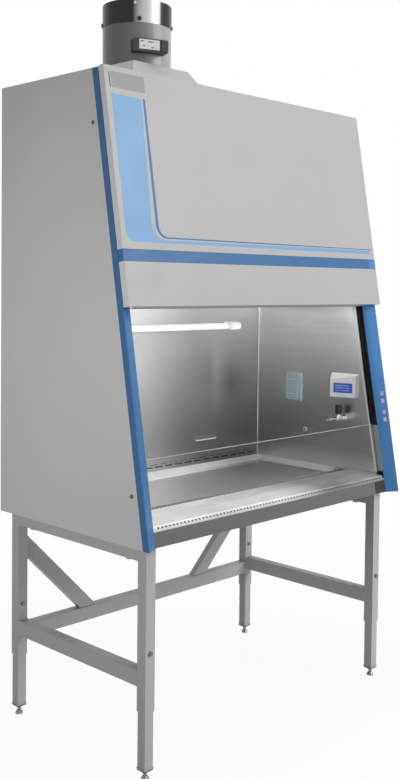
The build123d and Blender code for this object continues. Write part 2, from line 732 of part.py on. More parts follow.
with BuildPart() as panel_hinges:
    for hinge_x in (-HINGE_X, HINGE_X):
        with BuildSketch(SIDE.offset(hinge_x - KNUCKLE_L / 2)):
            with Locations((hinge_u, HINGE_FRONT)):
                Circle(KNUCKLE_R)
            with Locations((hinge_u - KNUCKLE_R + ARM_T / 2, (HINGE_FRONT - ARM_BACK) / 2)):
                Rectangle(ARM_T, HINGE_FRONT + ARM_BACK)
        extrude(amount=KNUCKLE_L)
        arm_top = TOP_Z - SKIN
        rise_y = front_y(arm_top, ARM_BACK)
        with BuildSketch(Plane.YZ.offset(hinge_x - KNUCKLE_L / 2)):
            with BuildLine():
                Polyline(
                    (rise_y - ARM_LAP, arm_top - ARM_BEND),
                    (rise_y + ARM_BACK - ARM_LAP, arm_top),
                    (front_y(arm_top, ARM_END), arm_top),
                    (front_y(arm_top, ARM_END), arm_top - ARM_T),
                    (rise_y + ARM_BACK - ARM_LAP / 2, arm_top - ARM_T),
                    (rise_y - ARM_LAP, arm_top - ARM_BEND - ARM_LAP),
                    close=True,
                )
            make_face()
        extrude(amount=KNUCKLE_L)
        pin_reach = ear_near + EAR_T + PIN_END
        with BuildSketch(SIDE.offset(hinge_x - pin_reach)):
            with Locations((hinge_u, HINGE_FRONT)):
                Circle(PIN_R)
        extrude(amount=2 * pin_reach)
save(panel_hinges, "panel_hinges")

with BuildPart() as trim_strip:
    low = strip_low + PART_LINE / 2
    add(front_pan(low, strip_high))
    for side in (-1, 1):
        add(post_bracket(side, low + PANEL_SHEET, strip_high - PANEL_SHEET))
save(trim_strip, "trim_strip")

with BuildPart() as fascia:
    high = strip_low - PART_LINE / 2
    add(front_pan(fascia_low, high))
    for side in (-1, 1):
        add(post_bracket(side, high - PANEL_SHEET - BRACKET_L, high - PANEL_SHEET))
    lip_back = GLASS_BEHIND - (EDGE_T - GLASS_T) / 2 - LIP_GAP
    lip_width = CHAMBER_W - 2 * GUIDE_LIP
    with BuildSketch(FACE.offset(-lip_back)):
        with Locations((0, fascia_low + PANEL_SHEET / 2)):
            Rectangle(lip_width, PANEL_SHEET)
    extrude(amount=lip_back + PANEL_GAP + PANEL_SHEET)
save(fascia, "fascia")

# ---------------------------------------------------------------------------
# Work chamber
# ---------------------------------------------------------------------------
hem_in = WALL_FRONT - WALL_SHEET
tray_under = TRAY_TOP - TRAY_RIM - TRAY_STEP - TRAY_FLOOR
tray_y0 = Y_FRONT + TRAY_FRONT
tray_y1 = BAFFLE_Y - TRAY_CLEAR
pulley_w = BELT_W + 2 * (FLANGE_GAP + PULLEY_FLANGE)
pulley_x = BELT_X - FLANGE_GAP - PULLEY_FLANGE

for side, name in ((-1, "left"), (1, "right")):
    with BuildPart() as chamber_wall:
        floor_z = BASE_Z + BASE_SHEET
        roof_z = TOP_Z - SKIN
        with BuildSketch(Plane.YZ.offset(WALL_X if side > 0 else -WALL_X - WALL_SHEET)):
            with BuildLine():
                Polyline(
                    (front_y(floor_z, hem_in), floor_z),
                    (back_inside, floor_z),
                    (back_inside, roof_z),
                    (front_y(roof_z, hem_in), roof_z),
                    close=True,
                )
            make_face()
        extrude(amount=WALL_SHEET)
        hem_low = along(floor_z, WALL_FRONT) + FLANGE_SHORT
        hem_high = along(roof_z, WALL_FRONT) - FLANGE_SHORT
        with BuildSketch(FACE.offset(-WALL_FRONT)):
            with Locations((side * (WALL_X + GUIDE_LIP / 2), (hem_low + hem_high) / 2)):
                Rectangle(GUIDE_LIP, hem_high - hem_low)
        extrude(amount=WALL_SHEET)
        with Locations((side * (WALL_X - LEDGE / 2), (tray_y0 + tray_y1) / 2, tray_under)):
            Box(LEDGE, tray_y1 - tray_y0, LEDGE_T, align=TOP_DOWN)
        boss_x = WALL_X + WALL_SHEET
        for pulley_u, bore in ((BELT_HIGH_U, True), (BELT_LOW_U, False)):
            start = boss_x if side > 0 else -boss_x - BOSS_L
            with BuildSketch(SIDE.offset(start)):
                with Locations((pulley_u, -BELT_BEHIND)):
                    Circle(BOSS_R)
            extrude(amount=BOSS_L)
            if bore:
                start = WALL_X if side > 0 else -boss_x - BOSS_L
                with BuildSketch(SIDE.offset(start)):
                    with Locations((pulley_u, -BELT_BEHIND)):
                        Circle(SHAFT_R + SHAFT_CLEAR)
                extrude(amount=BOSS_L + WALL_SHEET, mode=Mode.SUBTRACT)
            else:
                stud_end = pulley_x + pulley_w + STUD_END
                start = boss_x if side > 0 else -stud_end
                with BuildSketch(SIDE.offset(start)):
                    with Locations((pulley_u, -BELT_BEHIND)):
                        Circle(IDLER_R)
                extrude(amount=stud_end - boss_x)
                start = stud_end if side > 0 else -stud_end - STUD_HEAD_T
                with BuildSketch(SIDE.offset(start)):
                    with Locations((pulley_u, -BELT_BEHIND)):
                        Circle(STUD_HEAD_R)
                extrude(amount=STUD_HEAD_T)
    save(chamber_wall, f"chamber_wall_{name}")

slot_count = int(CHAMBER_W / SLOT_PITCH)
slot_z = TRAY_TOP + SLOT_LIFT
with BuildPart() as rear_baffle:
    baffle_low = BASE_Z + BAFFLE_RISE
    with BuildSketch(Plane.XZ.offset(-BAFFLE_Y - WALL_SHEET)):
        with Locations((0, (baffle_low + CEILING_Z) / 2)):
            Rectangle(CHAMBER_W, CEILING_Z - baffle_low)
        with Locations((0, slot_z)):
            with GridLocations(SLOT_PITCH, 1, slot_count, 1):
                Rectangle(SLOT_LENGTH, SLOT_H, mode=Mode.SUBTRACT)
        with Locations((0, slot_z + SLOT_ROW_GAP)):
            with GridLocations(SLOT_PITCH, 1, slot_count - 1, 1):
                Rectangle(SLOT_LENGTH, SLOT_H / 2, mode=Mode.SUBTRACT)
    extrude(amount=WALL_SHEET)
save(rear_baffle, "rear_baffle")

tray_w = CHAMBER_W - 2 * TRAY_CLEAR
tray_d = tray_y1 - tray_y0
tray_mid = (tray_y0 + tray_y1) / 2
cove_angle = degrees(atan2(TRAY_COVE, TRAY_RIM))
step_edge = TRAY_FLAT + TRAY_COVE + STEP_IN
with BuildPart() as tray_form:
    with Locations((0, tray_mid, TRAY_TOP)):
        Box(tray_w, tray_d, TRAY_TOP - tray_under, align=TOP_DOWN)
    with BuildSketch(Plane.XY.offset(TRAY_TOP)):
        with Locations((0, tray_mid)):
            RectangleRounded(tray_w - 2 * TRAY_FLAT, tray_d - 2 * TRAY_FLAT, TRAY_CORNER)
    extrude(amount=-TRAY_RIM, taper=cove_angle, mode=Mode.SUBTRACT)
    with BuildSketch(Plane.XY.offset(TRAY_TOP - TRAY_RIM)):
        with Locations((0, tray_mid)):
            RectangleRounded(tray_w - 2 * step_edge, tray_d - 2 * step_edge, STEP_CORNER)
    extrude(amount=-TRAY_STEP, mode=Mode.SUBTRACT)


def tray_piece(x0, x1, y0, y1, under, height):
    """The tray's metal between two pairs of upright planes, from a level upwards."""
    with BuildPart() as piece:
        add(tray_form.part)
        with Locations(((x0 + x1) / 2, (y0 + y1) / 2, under)):
            Box(x1 - x0, y1 - y0, height, align=BOTTOM_UP, mode=Mode.INTERSECT)
    return piece.part


# The floor plate carries the coved rim, which is welded up from four straight bars and four corners.
corner_side = step_edge + STEP_CORNER
rim_x = [-tray_w / 2, -tray_w / 2 + corner_side, tray_w / 2 - corner_side, tray_w / 2]
rim_y = [tray_y0, tray_y0 + corner_side, tray_y1 - corner_side, tray_y1]
rim_under = tray_under + TRAY_FLOOR
tray_pieces = [tray_piece(rim_x[0], rim_x[3], rim_y[0], rim_y[3], tray_under, TRAY_FLOOR)]
for column in range(3):
    for row in range(3):
        if (column, row) == (1, 1):
            continue
        x_pair = rim_x[column:column + 2]
        y_pair = rim_y[row:row + 2]
        tray_pieces.append(tray_piece(*x_pair, *y_pair, rim_under, TRAY_TOP - rim_under))
save_shape(Compound(children=[part.solid() for part in tray_pieces]), "work_tray")

# ---- front grille: one folded sheet with a slotted nose, an airfoil and a fall to the tray ----
nose_foot = front_y(APRON_TOP, POST_SIDE)
nose_top = nose_foot + NOSE_DEPTH
nose_low = APRON_TOP + NOSE_FOOT
crest_y = Y_FRONT + CREST_BACK
fall_y = tray_y0 - FALL_GAP
hole_count = int((CHAMBER_W - 2 * HOLE_MARGIN) / HOLE_PITCH)
with BuildPart() as front_grille:
    with BuildSketch(Plane.YZ.offset(-WALL_X + GRILLE_END)):
        with BuildLine():
            Polyline(
                (nose_foot, APRON_TOP),
                (nose_foot, nose_low),
                (nose_top, NOSE_Z),
                (crest_y, CREST_Z),
                (fall_y, FALL_Z),
                (fall_y + NOSE_FOOT, APRON_TOP),
            )
            offset(amount=WALL_SHEET, kind=Kind.INTERSECTION, side=Side.RIGHT)
        make_face()
    extrude(amount=CHAMBER_W - 2 * GRILLE_END)
    nose_mid = Vector(0, (nose_foot + nose_top) / 2, (nose_low + NOSE_Z) / 2)
    nose_normal = Vector(0, nose_low - NOSE_Z, NOSE_DEPTH)
    with BuildSketch(Plane(origin=nose_mid, x_dir=(1, 0, 0), z_dir=nose_normal)):
        with GridLocations(HOLE_PITCH, 1, hole_count, 1):
            Rectangle(HOLE_W, HOLE_H)
    extrude(amount=2 * WALL_SHEET, both=True, mode=Mode.SUBTRACT)
save(front_grille, "front_grille")

vent_w = (CHAMBER_W - 3 * VENT_EDGE) / 2
with BuildPart() as diffuser:
    diff_front = front_y(CEILING_Z, PLENUM_BEHIND)
    with BuildSketch(Plane.XY.offset(CEILING_Z)):
        with Locations((0, (diff_front + BAFFLE_Y) / 2)):
            Rectangle(CHAMBER_W, BAFFLE_Y - diff_front)
            with GridLocations(vent_w + VENT_EDGE, VENT_PITCH, 2, VENT_ROWS):
                Rectangle(vent_w, VENT_H, mode=Mode.SUBTRACT)
    extrude(amount=WALL_SHEET)
save(diffuser, "diffuser")

# ---------------------------------------------------------------------------
# Sash, its guides and its counterweight drive
# ---------------------------------------------------------------------------
edge_front = GLASS_BEHIND - (EDGE_T - GLASS_T) / 2
edge_back = edge_front + EDGE_T
edge_out = WALL_X + EDGE_OVER
sash_top = SASH_U + GLASS_H
belt_outer = BELT_R + BELT_T

with BuildPart() as sash_glass:
    with BuildSketch(FACE.offset(-GLASS_BEHIND - GLASS_T)):
        with Locations((0, (SASH_U + sash_top) / 2)):
            Rectangle(CHAMBER_W, GLASS_H)
    extrude(amount=GLASS_T)
save(sash_glass, "sash_glass")

with BuildPart() as sash_frame:
    for side in (-1, 1):
        with BuildSketch(FACE.offset(-edge_back)):
            with Locations((side * (edge_out - EDGE_W / 2), (SASH_U + sash_top) / 2)):
                Rectangle(EDGE_W, GLASS_H)
        extrude(amount=EDGE_T)
        arm_out = BELT_X + BELT_W + CARRIER_OVER
        with BuildSketch(FACE.offset(-edge_back + CARRIER_IN)):
            with Locations((side * (edge_out + arm_out) / 2, CARRIER_U + CARRIER_L / 2)):
                Rectangle(arm_out - edge_out, CARRIER_L)
        extrude(amount=EDGE_T - 2 * CARRIER_IN)
        grip = BELT_BEHIND - belt_outer - PULLEY_CLEAR
        with BuildSketch(FACE.offset(-grip)):
            with Locations((side * (BELT_X + arm_out) / 2, CARRIER_U + CARRIER_L / 2)):
                Rectangle(arm_out - BELT_X, CARRIER_L)
        extrude(amount=grip - edge_back + CARRIER_IN)
    with BuildSketch(FACE.offset(-edge_back)):
        with Locations((0, sash_top + TOP_BAR / 2)):
            Rectangle(2 * edge_out, TOP_BAR)
    extrude(amount=EDGE_T)
    with BuildSketch(FACE.offset(-GLASS_BEHIND - GLASS_T)):
        with Locations((0, (SASH_U + sash_top) / 2)):
            Rectangle(CHAMBER_W, GLASS_H)
    extrude(amount=GLASS_T, mode=Mode.SUBTRACT)
save(sash_frame, "sash_frame")

guide_low = along(CREST_Z, WALL_FRONT) + GUIDE_LIFT
guide_mid_x = edge_out + 2 * GUIDE_CLEAR
face_x0 = WALL_X + GUIDE_SIDE
face_x1 = inside - FLANGE
length = GUIDE_TOP_U - guide_low
middle = (GUIDE_TOP_U + guide_low) / 2
web_length = GUIDE_SLOT_U - guide_low
with BuildPart() as sash_guides:
    for side in (-1, 1):
        with BuildSketch(FACE.offset(-POST_SIDE - GUIDE_FACE)):
            with Locations((side * (face_x0 + face_x1) / 2, middle)):
                Rectangle(face_x1 - face_x0, length)
        extrude(amount=GUIDE_FACE)
        with BuildSketch(FACE.offset(-edge_front + GUIDE_CLEAR)):
            with Locations((side * (face_x0 + GUIDE_LIP / 2), middle)):
                Rectangle(GUIDE_LIP, length)
        extrude(amount=edge_front - GUIDE_CLEAR - POST_SIDE - GUIDE_FACE)
        with BuildSketch(FACE.offset(-hem_in)):
            with Locations((side * (WALL_X + GUIDE_CLEAR + GUIDE_REAR / 2), middle)):
                Rectangle(GUIDE_REAR, length)
        extrude(amount=hem_in - edge_back - GUIDE_CLEAR)
        with BuildSketch(FACE.offset(-hem_in)):
            with Locations((side * (guide_mid_x + GUIDE_WEB / 2), guide_low + web_length / 2)):
                Rectangle(GUIDE_WEB, web_length)
        extrude(amount=hem_in - POST_SIDE)
    block_low = BASE_Z + BASE_SHEET
    block_top = APRON_TOP - PART_LINE
    with BuildSketch(Plane.YZ.offset(apron_right)):
        with BuildLine():
            Polyline(
                (front_y(block_low, POST_SIDE), block_low),
                (front_y(block_low, WALL_FRONT - 2 * WALL_SHEET), block_low),
                (front_y(block_top, WALL_FRONT - 2 * WALL_SHEET), block_top),
                (front_y(block_top, POST_SIDE), block_top),
                close=True,
            )
        make_face()
    extrude(amount=END_BLOCK_W)
save(sash_guides, "sash_guides")

belt_mid = (BELT_LOW_U + BELT_HIGH_U) / 2
belt_span = BELT_HIGH_U - BELT_LOW_U
with BuildPart() as sash_belts:
    for start in (BELT_X, -BELT_X - BELT_W):
        with BuildSketch(SIDE.offset(start)):
            with Locations((belt_mid, -BELT_BEHIND)):
                SlotCenterToCenter(belt_span, 2 * belt_outer)
                SlotCenterToCenter(belt_span, 2 * BELT_R, mode=Mode.SUBTRACT)
        extrude(amount=BELT_W)
save(sash_belts, "sash_belts")


def belt_wheel(side, pulley_u):
    """Drum that carries a belt outside a side wall."""
    start = pulley_x if side > 0 else -pulley_x - pulley_w
    with BuildPart() as wheel:
        with BuildSketch(SIDE.offset(start)):
            with Locations((pulley_u, -BELT_BEHIND)):
                Circle(BELT_R - PULLEY_CLEAR)
        extrude(amount=pulley_w)
    return wheel.part


# the upper wheels are flanged and turn together; the lower ones are plain idlers
with BuildPart() as sync_shaft:
    shaft_reach = pulley_x + pulley_w + SHAFT_END
    with BuildSketch(SIDE.offset(-shaft_reach)):
        with Locations((BELT_HIGH_U, -BELT_BEHIND)):
            Circle(SHAFT_R)
    extrude(amount=2 * shaft_reach)
    for side in (-1, 1):
        add(belt_wheel(side, BELT_HIGH_U))
        near = pulley_x if side > 0 else -pulley_x - pulley_w
        for rim in (near, near + pulley_w - PULLEY_FLANGE):
            with BuildSketch(SIDE.offset(rim)):
                with Locations((BELT_HIGH_U, -BELT_BEHIND)):
                    Circle(belt_outer + FLANGE_OVER)
            extrude(amount=PULLEY_FLANGE)
save(sync_shaft, "sync_shaft")

clamp_in = BELT_BEHIND + belt_outer + PULLEY_CLEAR
counter_in = clamp_in + CLAMP_L
counter_x0 = WALL_X + WALL_SHEET + COUNTER_CLEAR
counter_x1 = inside - COUNTER_CLEAR
counter_mid_u = COUNTER_U + COUNTER_L / 2
for side, name in ((-1, "left"), (1, "right")):
    with BuildPart() as idler:
        add(belt_wheel(side, BELT_LOW_U))
        with BuildSketch(SIDE.offset(-HALF)):
            with Locations((BELT_LOW_U, -BELT_BEHIND)):
                Circle(IDLER_R + SHAFT_CLEAR)
        extrude(amount=WIDTH, mode=Mode.SUBTRACT)
    save(idler, f"idler_{name}")

    with BuildPart() as counterweight:
        with BuildSketch(FACE.offset(-counter_in - COUNTER_T)):
            with Locations((side * (counter_x0 + counter_x1) / 2, counter_mid_u)):
                Rectangle(counter_x1 - counter_x0, COUNTER_L)
        extrude(amount=COUNTER_T)
        chamfer(counterweight.edges().filter_by(Axis.X), COUNTER_EDGE)
        with BuildSketch(FACE.offset(-counter_in)):
            with Locations((side * (BELT_X + BELT_W / 2), counter_mid_u)):
                Rectangle(BELT_W - 2 * CLAMP_IN, CARRIER_L)
        extrude(amount=CLAMP_L)
    save(counterweight, f"counterweight_{name}")

# ---------------------------------------------------------------------------
# Air path: filters, blower, transition and duct
# ---------------------------------------------------------------------------
def filter_cell(x0, x1, y0, y1, z0):
    """Filter: an open frame with a folded pleat pack between its walls."""
    frame = 2 * FILTER_FRAME
    pack_low = z0 + FILTER_EDGE
    pack_high = z0 + FILTER_T - FILTER_EDGE
    run = (x1 - x0 - frame) / PLEAT_COUNT
    top_line = []
    for fold in range(PLEAT_COUNT):
        left = x0 + FILTER_FRAME + fold * run
        top_line += [(left, pack_high - FOLD_H), (left + run / 2, pack_high)]
    top_line.append((x1 - FILTER_FRAME, pack_high - FOLD_H))
    bottom_line = [(px, pz - (pack_high - pack_low) + FOLD_H) for px, pz in reversed(top_line)]
    with BuildPart() as cell:
        with BuildSketch(Plane.XY.offset(z0)):
            with Locations(((x0 + x1) / 2, (y0 + y1) / 2)):
                Rectangle(x1 - x0, y1 - y0)
                Rectangle(x1 - x0 - frame, y1 - y0 - frame, mode=Mode.SUBTRACT)
        extrude(amount=FILTER_T)
        with BuildSketch(Plane.XZ.offset(-y1 + FILTER_FRAME)):
            with BuildLine():
                Polyline(*top_line, *bottom_line, close=True)
            make_face()
        extrude(amount=y1 - y0 - frame)
    return cell.part


with BuildPart() as supply_filter:
    filter_low = CEILING_Z + WALL_SHEET
    filter_front = front_y(filter_low + FILTER_T, PLENUM_BEHIND + FILTER_FRONT)
    filter_half = WALL_X - COUNTER_CLEAR
    add(filter_cell(-filter_half, filter_half, filter_front, BAFFLE_Y - FILTER_REAR, filter_low))
save(supply_filter, "supply_filter")

with BuildPart() as exhaust_filter:
    cell_half = hood_low + FILTER_SIDE
    cell_front = SHAFT_Y + belt_outer + FLANGE_OVER + FILTER_CLEAR
    add(filter_cell(DUCT_X - cell_half, DUCT_X + cell_half, cell_front, back_inside - FILTER_BACK,
                    TOP_Z - SKIN - FILTER_T))
save(exhaust_filter, "exhaust_filter")

cover_w = WALL_X - COVER_EDGE - COVER_SIDE
with BuildPart() as plenum_front:
    low = along(CEILING_Z, PLENUM_BEHIND) + PLENUM_SHORT
    high = along(TOP_Z - SKIN, PLENUM_BEHIND) - PLENUM_SHORT
    with BuildSketch(FACE.offset(-PLENUM_BEHIND - WALL_SHEET)):
        with Locations((0, (low + high) / 2)):
            Rectangle(CHAMBER_W, high - low)
    extrude(amount=WALL_SHEET)
    with BuildSketch(FACE.offset(-PLENUM_BEHIND)):
        with Locations((0, low + COVER_LOW + COVER_H / 2)):
            with GridLocations(cover_w + 2 * COVER_EDGE, 1, 2, 1):
                Rectangle(cover_w, COVER_H)
    extrude(amount=COVER_T)
save(plenum_front, "plenum_front")

motor_plate = BASE_Z + MOTOR_RISE
inlet_plate = BASE_Z + INLET_RISE
spider_open = plate - 2 * SPIDER
post_pitch = plate - PLATE_POST - 2 * POST_EDGE
with BuildPart() as blower_housing:
    with BuildSketch(Plane.XY.offset(inlet_plate)):
        with Locations((FAN_X, fan_y)):
            Rectangle(plate, plate)
            Circle(FAN_INLET_R - 3 * INLET_WALL, mode=Mode.SUBTRACT)
    extrude(amount=INLET_PLATE_T)
    with BuildSketch(Plane.XY.offset(inlet_plate - INLET_LIP)):
        with Locations((FAN_X, fan_y)):
            Circle(FAN_INLET_R - 2 * INLET_WALL)
            Circle(FAN_INLET_R - 3 * INLET_WALL, mode=Mode.SUBTRACT)
    extrude(amount=INLET_LIP)
    with BuildSketch(Plane.XY.offset(motor_plate)):
        with Locations((FAN_X, fan_y)):
            Rectangle(plate, plate)
            Rectangle(spider_open, spider_open, mode=Mode.SUBTRACT)
            Rectangle(spider_open, SPIDER_ARM)
            Rectangle(SPIDER_ARM, spider_open)
    extrude(amount=MOTOR_PLATE_T)
    with BuildSketch(Plane.XY.offset(motor_plate)):
        with Locations((FAN_X, fan_y)):
            with GridLocations(post_pitch, post_pitch, 2, 2):
                Rectangle(PLATE_POST, PLATE_POST)
    extrude(amount=TOP_Z - SKIN - motor_plate)
save(blower_housing, "blower_housing")

motor_foot = motor_plate + MOTOR_PLATE_T
motor_top = motor_foot + MOTOR_H
with BuildPart() as blower_motor:
    with Locations((FAN_X, fan_y, motor_foot)):
        Cylinder(MOTOR_R, MOTOR_H, align=BOTTOM_UP)
    with Locations((FAN_X, fan_y, motor_top)):
        Cylinder(MOTOR_SHAFT_R, MOTOR_SHAFT_L, align=BOTTOM_UP)
save(blower_motor, "blower_motor")

disc_z = motor_top + DISC_GAP
blade_h = inlet_plate - BLADE_CLEAR - disc_z
tip_r = FAN_R - BLADE_EDGE
with BuildSketch() as blade:
    with BuildLine():
        root_point = (BLADE_IN, 0)
        tip_point = (tip_r * cos(radians(BLADE_SWEEP)), -tip_r * sin(radians(BLADE_SWEEP)))
        Line(root_point, tip_point)
        offset(amount=BLADE_T, side=Side.LEFT)
    make_face()
with BuildPart() as impeller:
    with BuildSketch(Plane.XY.offset(disc_z)):
        with Locations((FAN_X, fan_y)):
            Circle(FAN_R)
    extrude(amount=DISC_T)
    with BuildSketch(Plane.XY.offset(disc_z)):
        with Locations((FAN_X, fan_y)):
            Circle(HUB_R)
    extrude(amount=HUB_L)
    with BuildSketch(Plane.XY.offset(disc_z + DISC_T)):
        with Locations((FAN_X, fan_y)):
            with PolarLocations(0, BLADE_COUNT):
                add(blade.sketch)
    extrude(amount=blade_h)
    with BuildSketch(Plane.XY.offset(disc_z + DISC_T + blade_h)):
        with Locations((FAN_X, fan_y)):
            Circle(FAN_R)
            Circle(FAN_INLET_R, mode=Mode.SUBTRACT)
    extrude(amount=DISC_T)
    with Locations((FAN_X, fan_y, disc_z)):
        Cylinder(MOTOR_SHAFT_R + SHAFT_CLEAR, 2 * HUB_L + DISC_T, mode=Mode.SUBTRACT)
save(impeller, "impeller")


def flared_box(wall):
    """The transition's tapered hood, `wall` inside its skin, upright at the rear skin."""
    foot = 2 * (hood_low - wall)
    height = HOOD_LIFT - wall
    lean = degrees(atan2(HOOD_FLARE, HOOD_LIFT))
    rear = back_inside - wall
    with BuildPart() as hood:
        with BuildSketch(Plane.XY.offset(TOP_Z)):
            with Locations((DUCT_X, duct_y)):
                Rectangle(foot, foot)
        extrude(amount=height, taper=lean)
        with Locations((DUCT_X, rear, TOP_Z)):
            Box(2 * foot, foot, 2 * height, align=(Align.CENTER, Align.MIN, Align.CENTER),
                mode=Mode.SUBTRACT)
    return hood.part


with BuildPart() as exhaust_transition:
    add(flared_box(0))
    add(flared_box(SKIN), mode=Mode.SUBTRACT)
    collar_l = COLLAR_LIFT - HOOD_LIFT + SKIN
    with BuildSketch(Plane.XY.offset(HOOD_TOP - SKIN)):
        with Locations((DUCT_X, duct_y)):
            Circle(COLLAR_R)
    extrude(amount=collar_l)
    with BuildSketch(Plane.XY.offset(HOOD_TOP - SKIN)):
        with Locations((DUCT_X, duct_y)):
            Circle(COLLAR_R - SKIN)
    extrude(amount=collar_l, mode=Mode.SUBTRACT)
save(exhaust_transition, "exhaust_transition")

with BuildPart() as duct_stub:
    with BuildSketch(Plane.XY.offset(STUB_Z)):
        with Locations((DUCT_X, duct_y)):
            Circle(DUCT_R)
            Circle(COLLAR_R, mode=Mode.SUBTRACT)
    extrude(amount=DUCT_TOP - STUB_Z)
save(duct_stub, "duct_stub")

sensor_dir = Vector(-sin(radians(SENSOR_TURN)), -cos(radians(SENSOR_TURN)), 0)
with BuildPart() as flow_sensor:
    sensor_base = Vector(DUCT_X, duct_y, SENSOR_Z) + sensor_dir * (COLLAR_R - SENSOR_SEAT)
    with BuildSketch(Plane(origin=sensor_base, x_dir=(-sensor_dir.Y, sensor_dir.X, 0), z_dir=sensor_dir)):
        RectangleRounded(SENSOR_W, SENSOR_H, SENSOR_ROUND)
    extrude(amount=SENSOR_SEAT + SENSOR_D)
    with Locations((DUCT_X, duct_y, SENSOR_Z)):
        Cylinder(COLLAR_R, 2 * SENSOR_H, mode=Mode.SUBTRACT)
save(flow_sensor, "flow_sensor")

# ---------------------------------------------------------------------------
# Lamps, outlet, monitor, petcock, electrics
# ---------------------------------------------------------------------------
uv_y = BAFFLE_Y - UV_OFF
lamp_end = UV_LENGTH / 2 + LAMP_SOCKET_OVER
with BuildPart() as uv_lamp:
    with BuildSketch(Plane.YZ.offset(UV_X - UV_LENGTH / 2)):
        with Locations((uv_y, UV_Z)):
            Circle(UV_R)
    extrude(amount=UV_LENGTH)
    for socket_x in (UV_X - lamp_end, UV_X + lamp_end - LAMP_SOCKET_L):
        with BuildSketch(Plane.YZ.offset(socket_x)):
            with Locations((uv_y, UV_Z)):
                Circle(UV_R + LAMP_SOCKET_WALL)
            with BuildLine():
                Polyline(
                    (uv_y, UV_Z - UV_R + LAMP_SOCKET_WALL),
                    (BAFFLE_Y, UV_Z - UV_R - LAMP_SOCKET_WALL),
                    (BAFFLE_Y, UV_Z + UV_R + LAMP_SOCKET_WALL),
                    (uv_y, UV_Z + UV_R - LAMP_SOCKET_WALL),
                    close=True,
                )
            make_face()
        extrude(amount=LAMP_SOCKET_L)
save(uv_lamp, "uv_lamp")

light_half = WALL_X - LIGHT_INSET
tube_half = light_half - TUBE_INSET
with BuildPart() as work_light:
    light_back = PANEL_PROUD - PANEL_SHEET
    light_front = light_back - LIGHT_DEEP
    light_edge = LIGHT_HALF_W + LIGHT_FLARE
    with BuildSketch(SIDE.offset(-light_half)):
        with BuildLine():
            Polyline(
                (LIGHT_U - light_edge, light_front),
                (LIGHT_U - LIGHT_HALF_W, light_back),
                (LIGHT_U + LIGHT_HALF_W, light_back),
                (LIGHT_U + light_edge, light_front),
                (LIGHT_U + light_edge - LIGHT_SHEET, light_front),
                (LIGHT_U + LIGHT_HALF_W - LIGHT_SHEET, light_back - LIGHT_SHEET),
                (LIGHT_U - LIGHT_HALF_W + LIGHT_SHEET, light_back - LIGHT_SHEET),
                (LIGHT_U - light_edge + LIGHT_SHEET, light_front),
                close=True,
            )
        make_face()
    extrude(amount=2 * light_half)
    with BuildSketch(SIDE.offset(-tube_half)):
        with Locations((LIGHT_U, light_back - LIGHT_SHEET - TUBE_R)):
            Circle(TUBE_R)
    extrude(amount=2 * tube_half)
save(work_light, "work_light")

cover_hinge_y = OUTLET_Y + PLATE_W / 2 + BARREL_R
cover_hinge_x = WALL_X - PLATE_T - BARREL_OUT
ear_low = OUTLET_Z - BARREL_HALF
ear_high = OUTLET_Z + BARREL_HALF
with BuildPart() as outlet_plate:
    with BuildSketch(Plane.YZ.offset(WALL_X - PLATE_T)):
        with Locations((OUTLET_Y, OUTLET_Z)):
            Rectangle(PLATE_W, PLATE_H)
    extrude(amount=PLATE_T)
    with BuildSketch(Plane.YZ.offset(WALL_X - PLATE_T - SOCKET_T)):
        with Locations((OUTLET_Y, OUTLET_Z)):
            with GridLocations(1, SOCKET_PITCH, 1, 2):
                RectangleRounded(SOCKET_W, SOCKET_H, SOCKET_H / 3)
    extrude(amount=SOCKET_T)
    with BuildSketch(Plane.YZ.offset(WALL_X - PLATE_T - SOCKET_T)):
        with Locations((OUTLET_Y, OUTLET_Z + BLADE_RISE)):
            with GridLocations(BLADE_PITCH, SOCKET_PITCH, 2, 2):
                Rectangle(*BLADE_HOLE)
        with Locations((OUTLET_Y, OUTLET_Z - EARTH_DROP)):
            with GridLocations(1, SOCKET_PITCH, 1, 2):
                Rectangle(EARTH_HOLE, EARTH_HOLE)
    extrude(amount=SOCKET_T + PLATE_T / 2, mode=Mode.SUBTRACT)
    for ear_z in (ear_low - BARREL_END, ear_high):
        with BuildSketch(Plane.XY.offset(ear_z)):
            with Locations(((cover_hinge_x + WALL_X) / 2, cover_hinge_y)):
                Rectangle(WALL_X - cover_hinge_x, 2 * BARREL_R)
            with Locations((cover_hinge_x, cover_hinge_y)):
                Circle(BARREL_R)
        extrude(amount=BARREL_END)
    with BuildSketch(Plane.XY.offset(ear_low)):
        with Locations((cover_hinge_x, cover_hinge_y)):
            Circle(HINGE_PIN_R)
    extrude(amount=ear_high - ear_low)
save(outlet_plate, "outlet_plate")

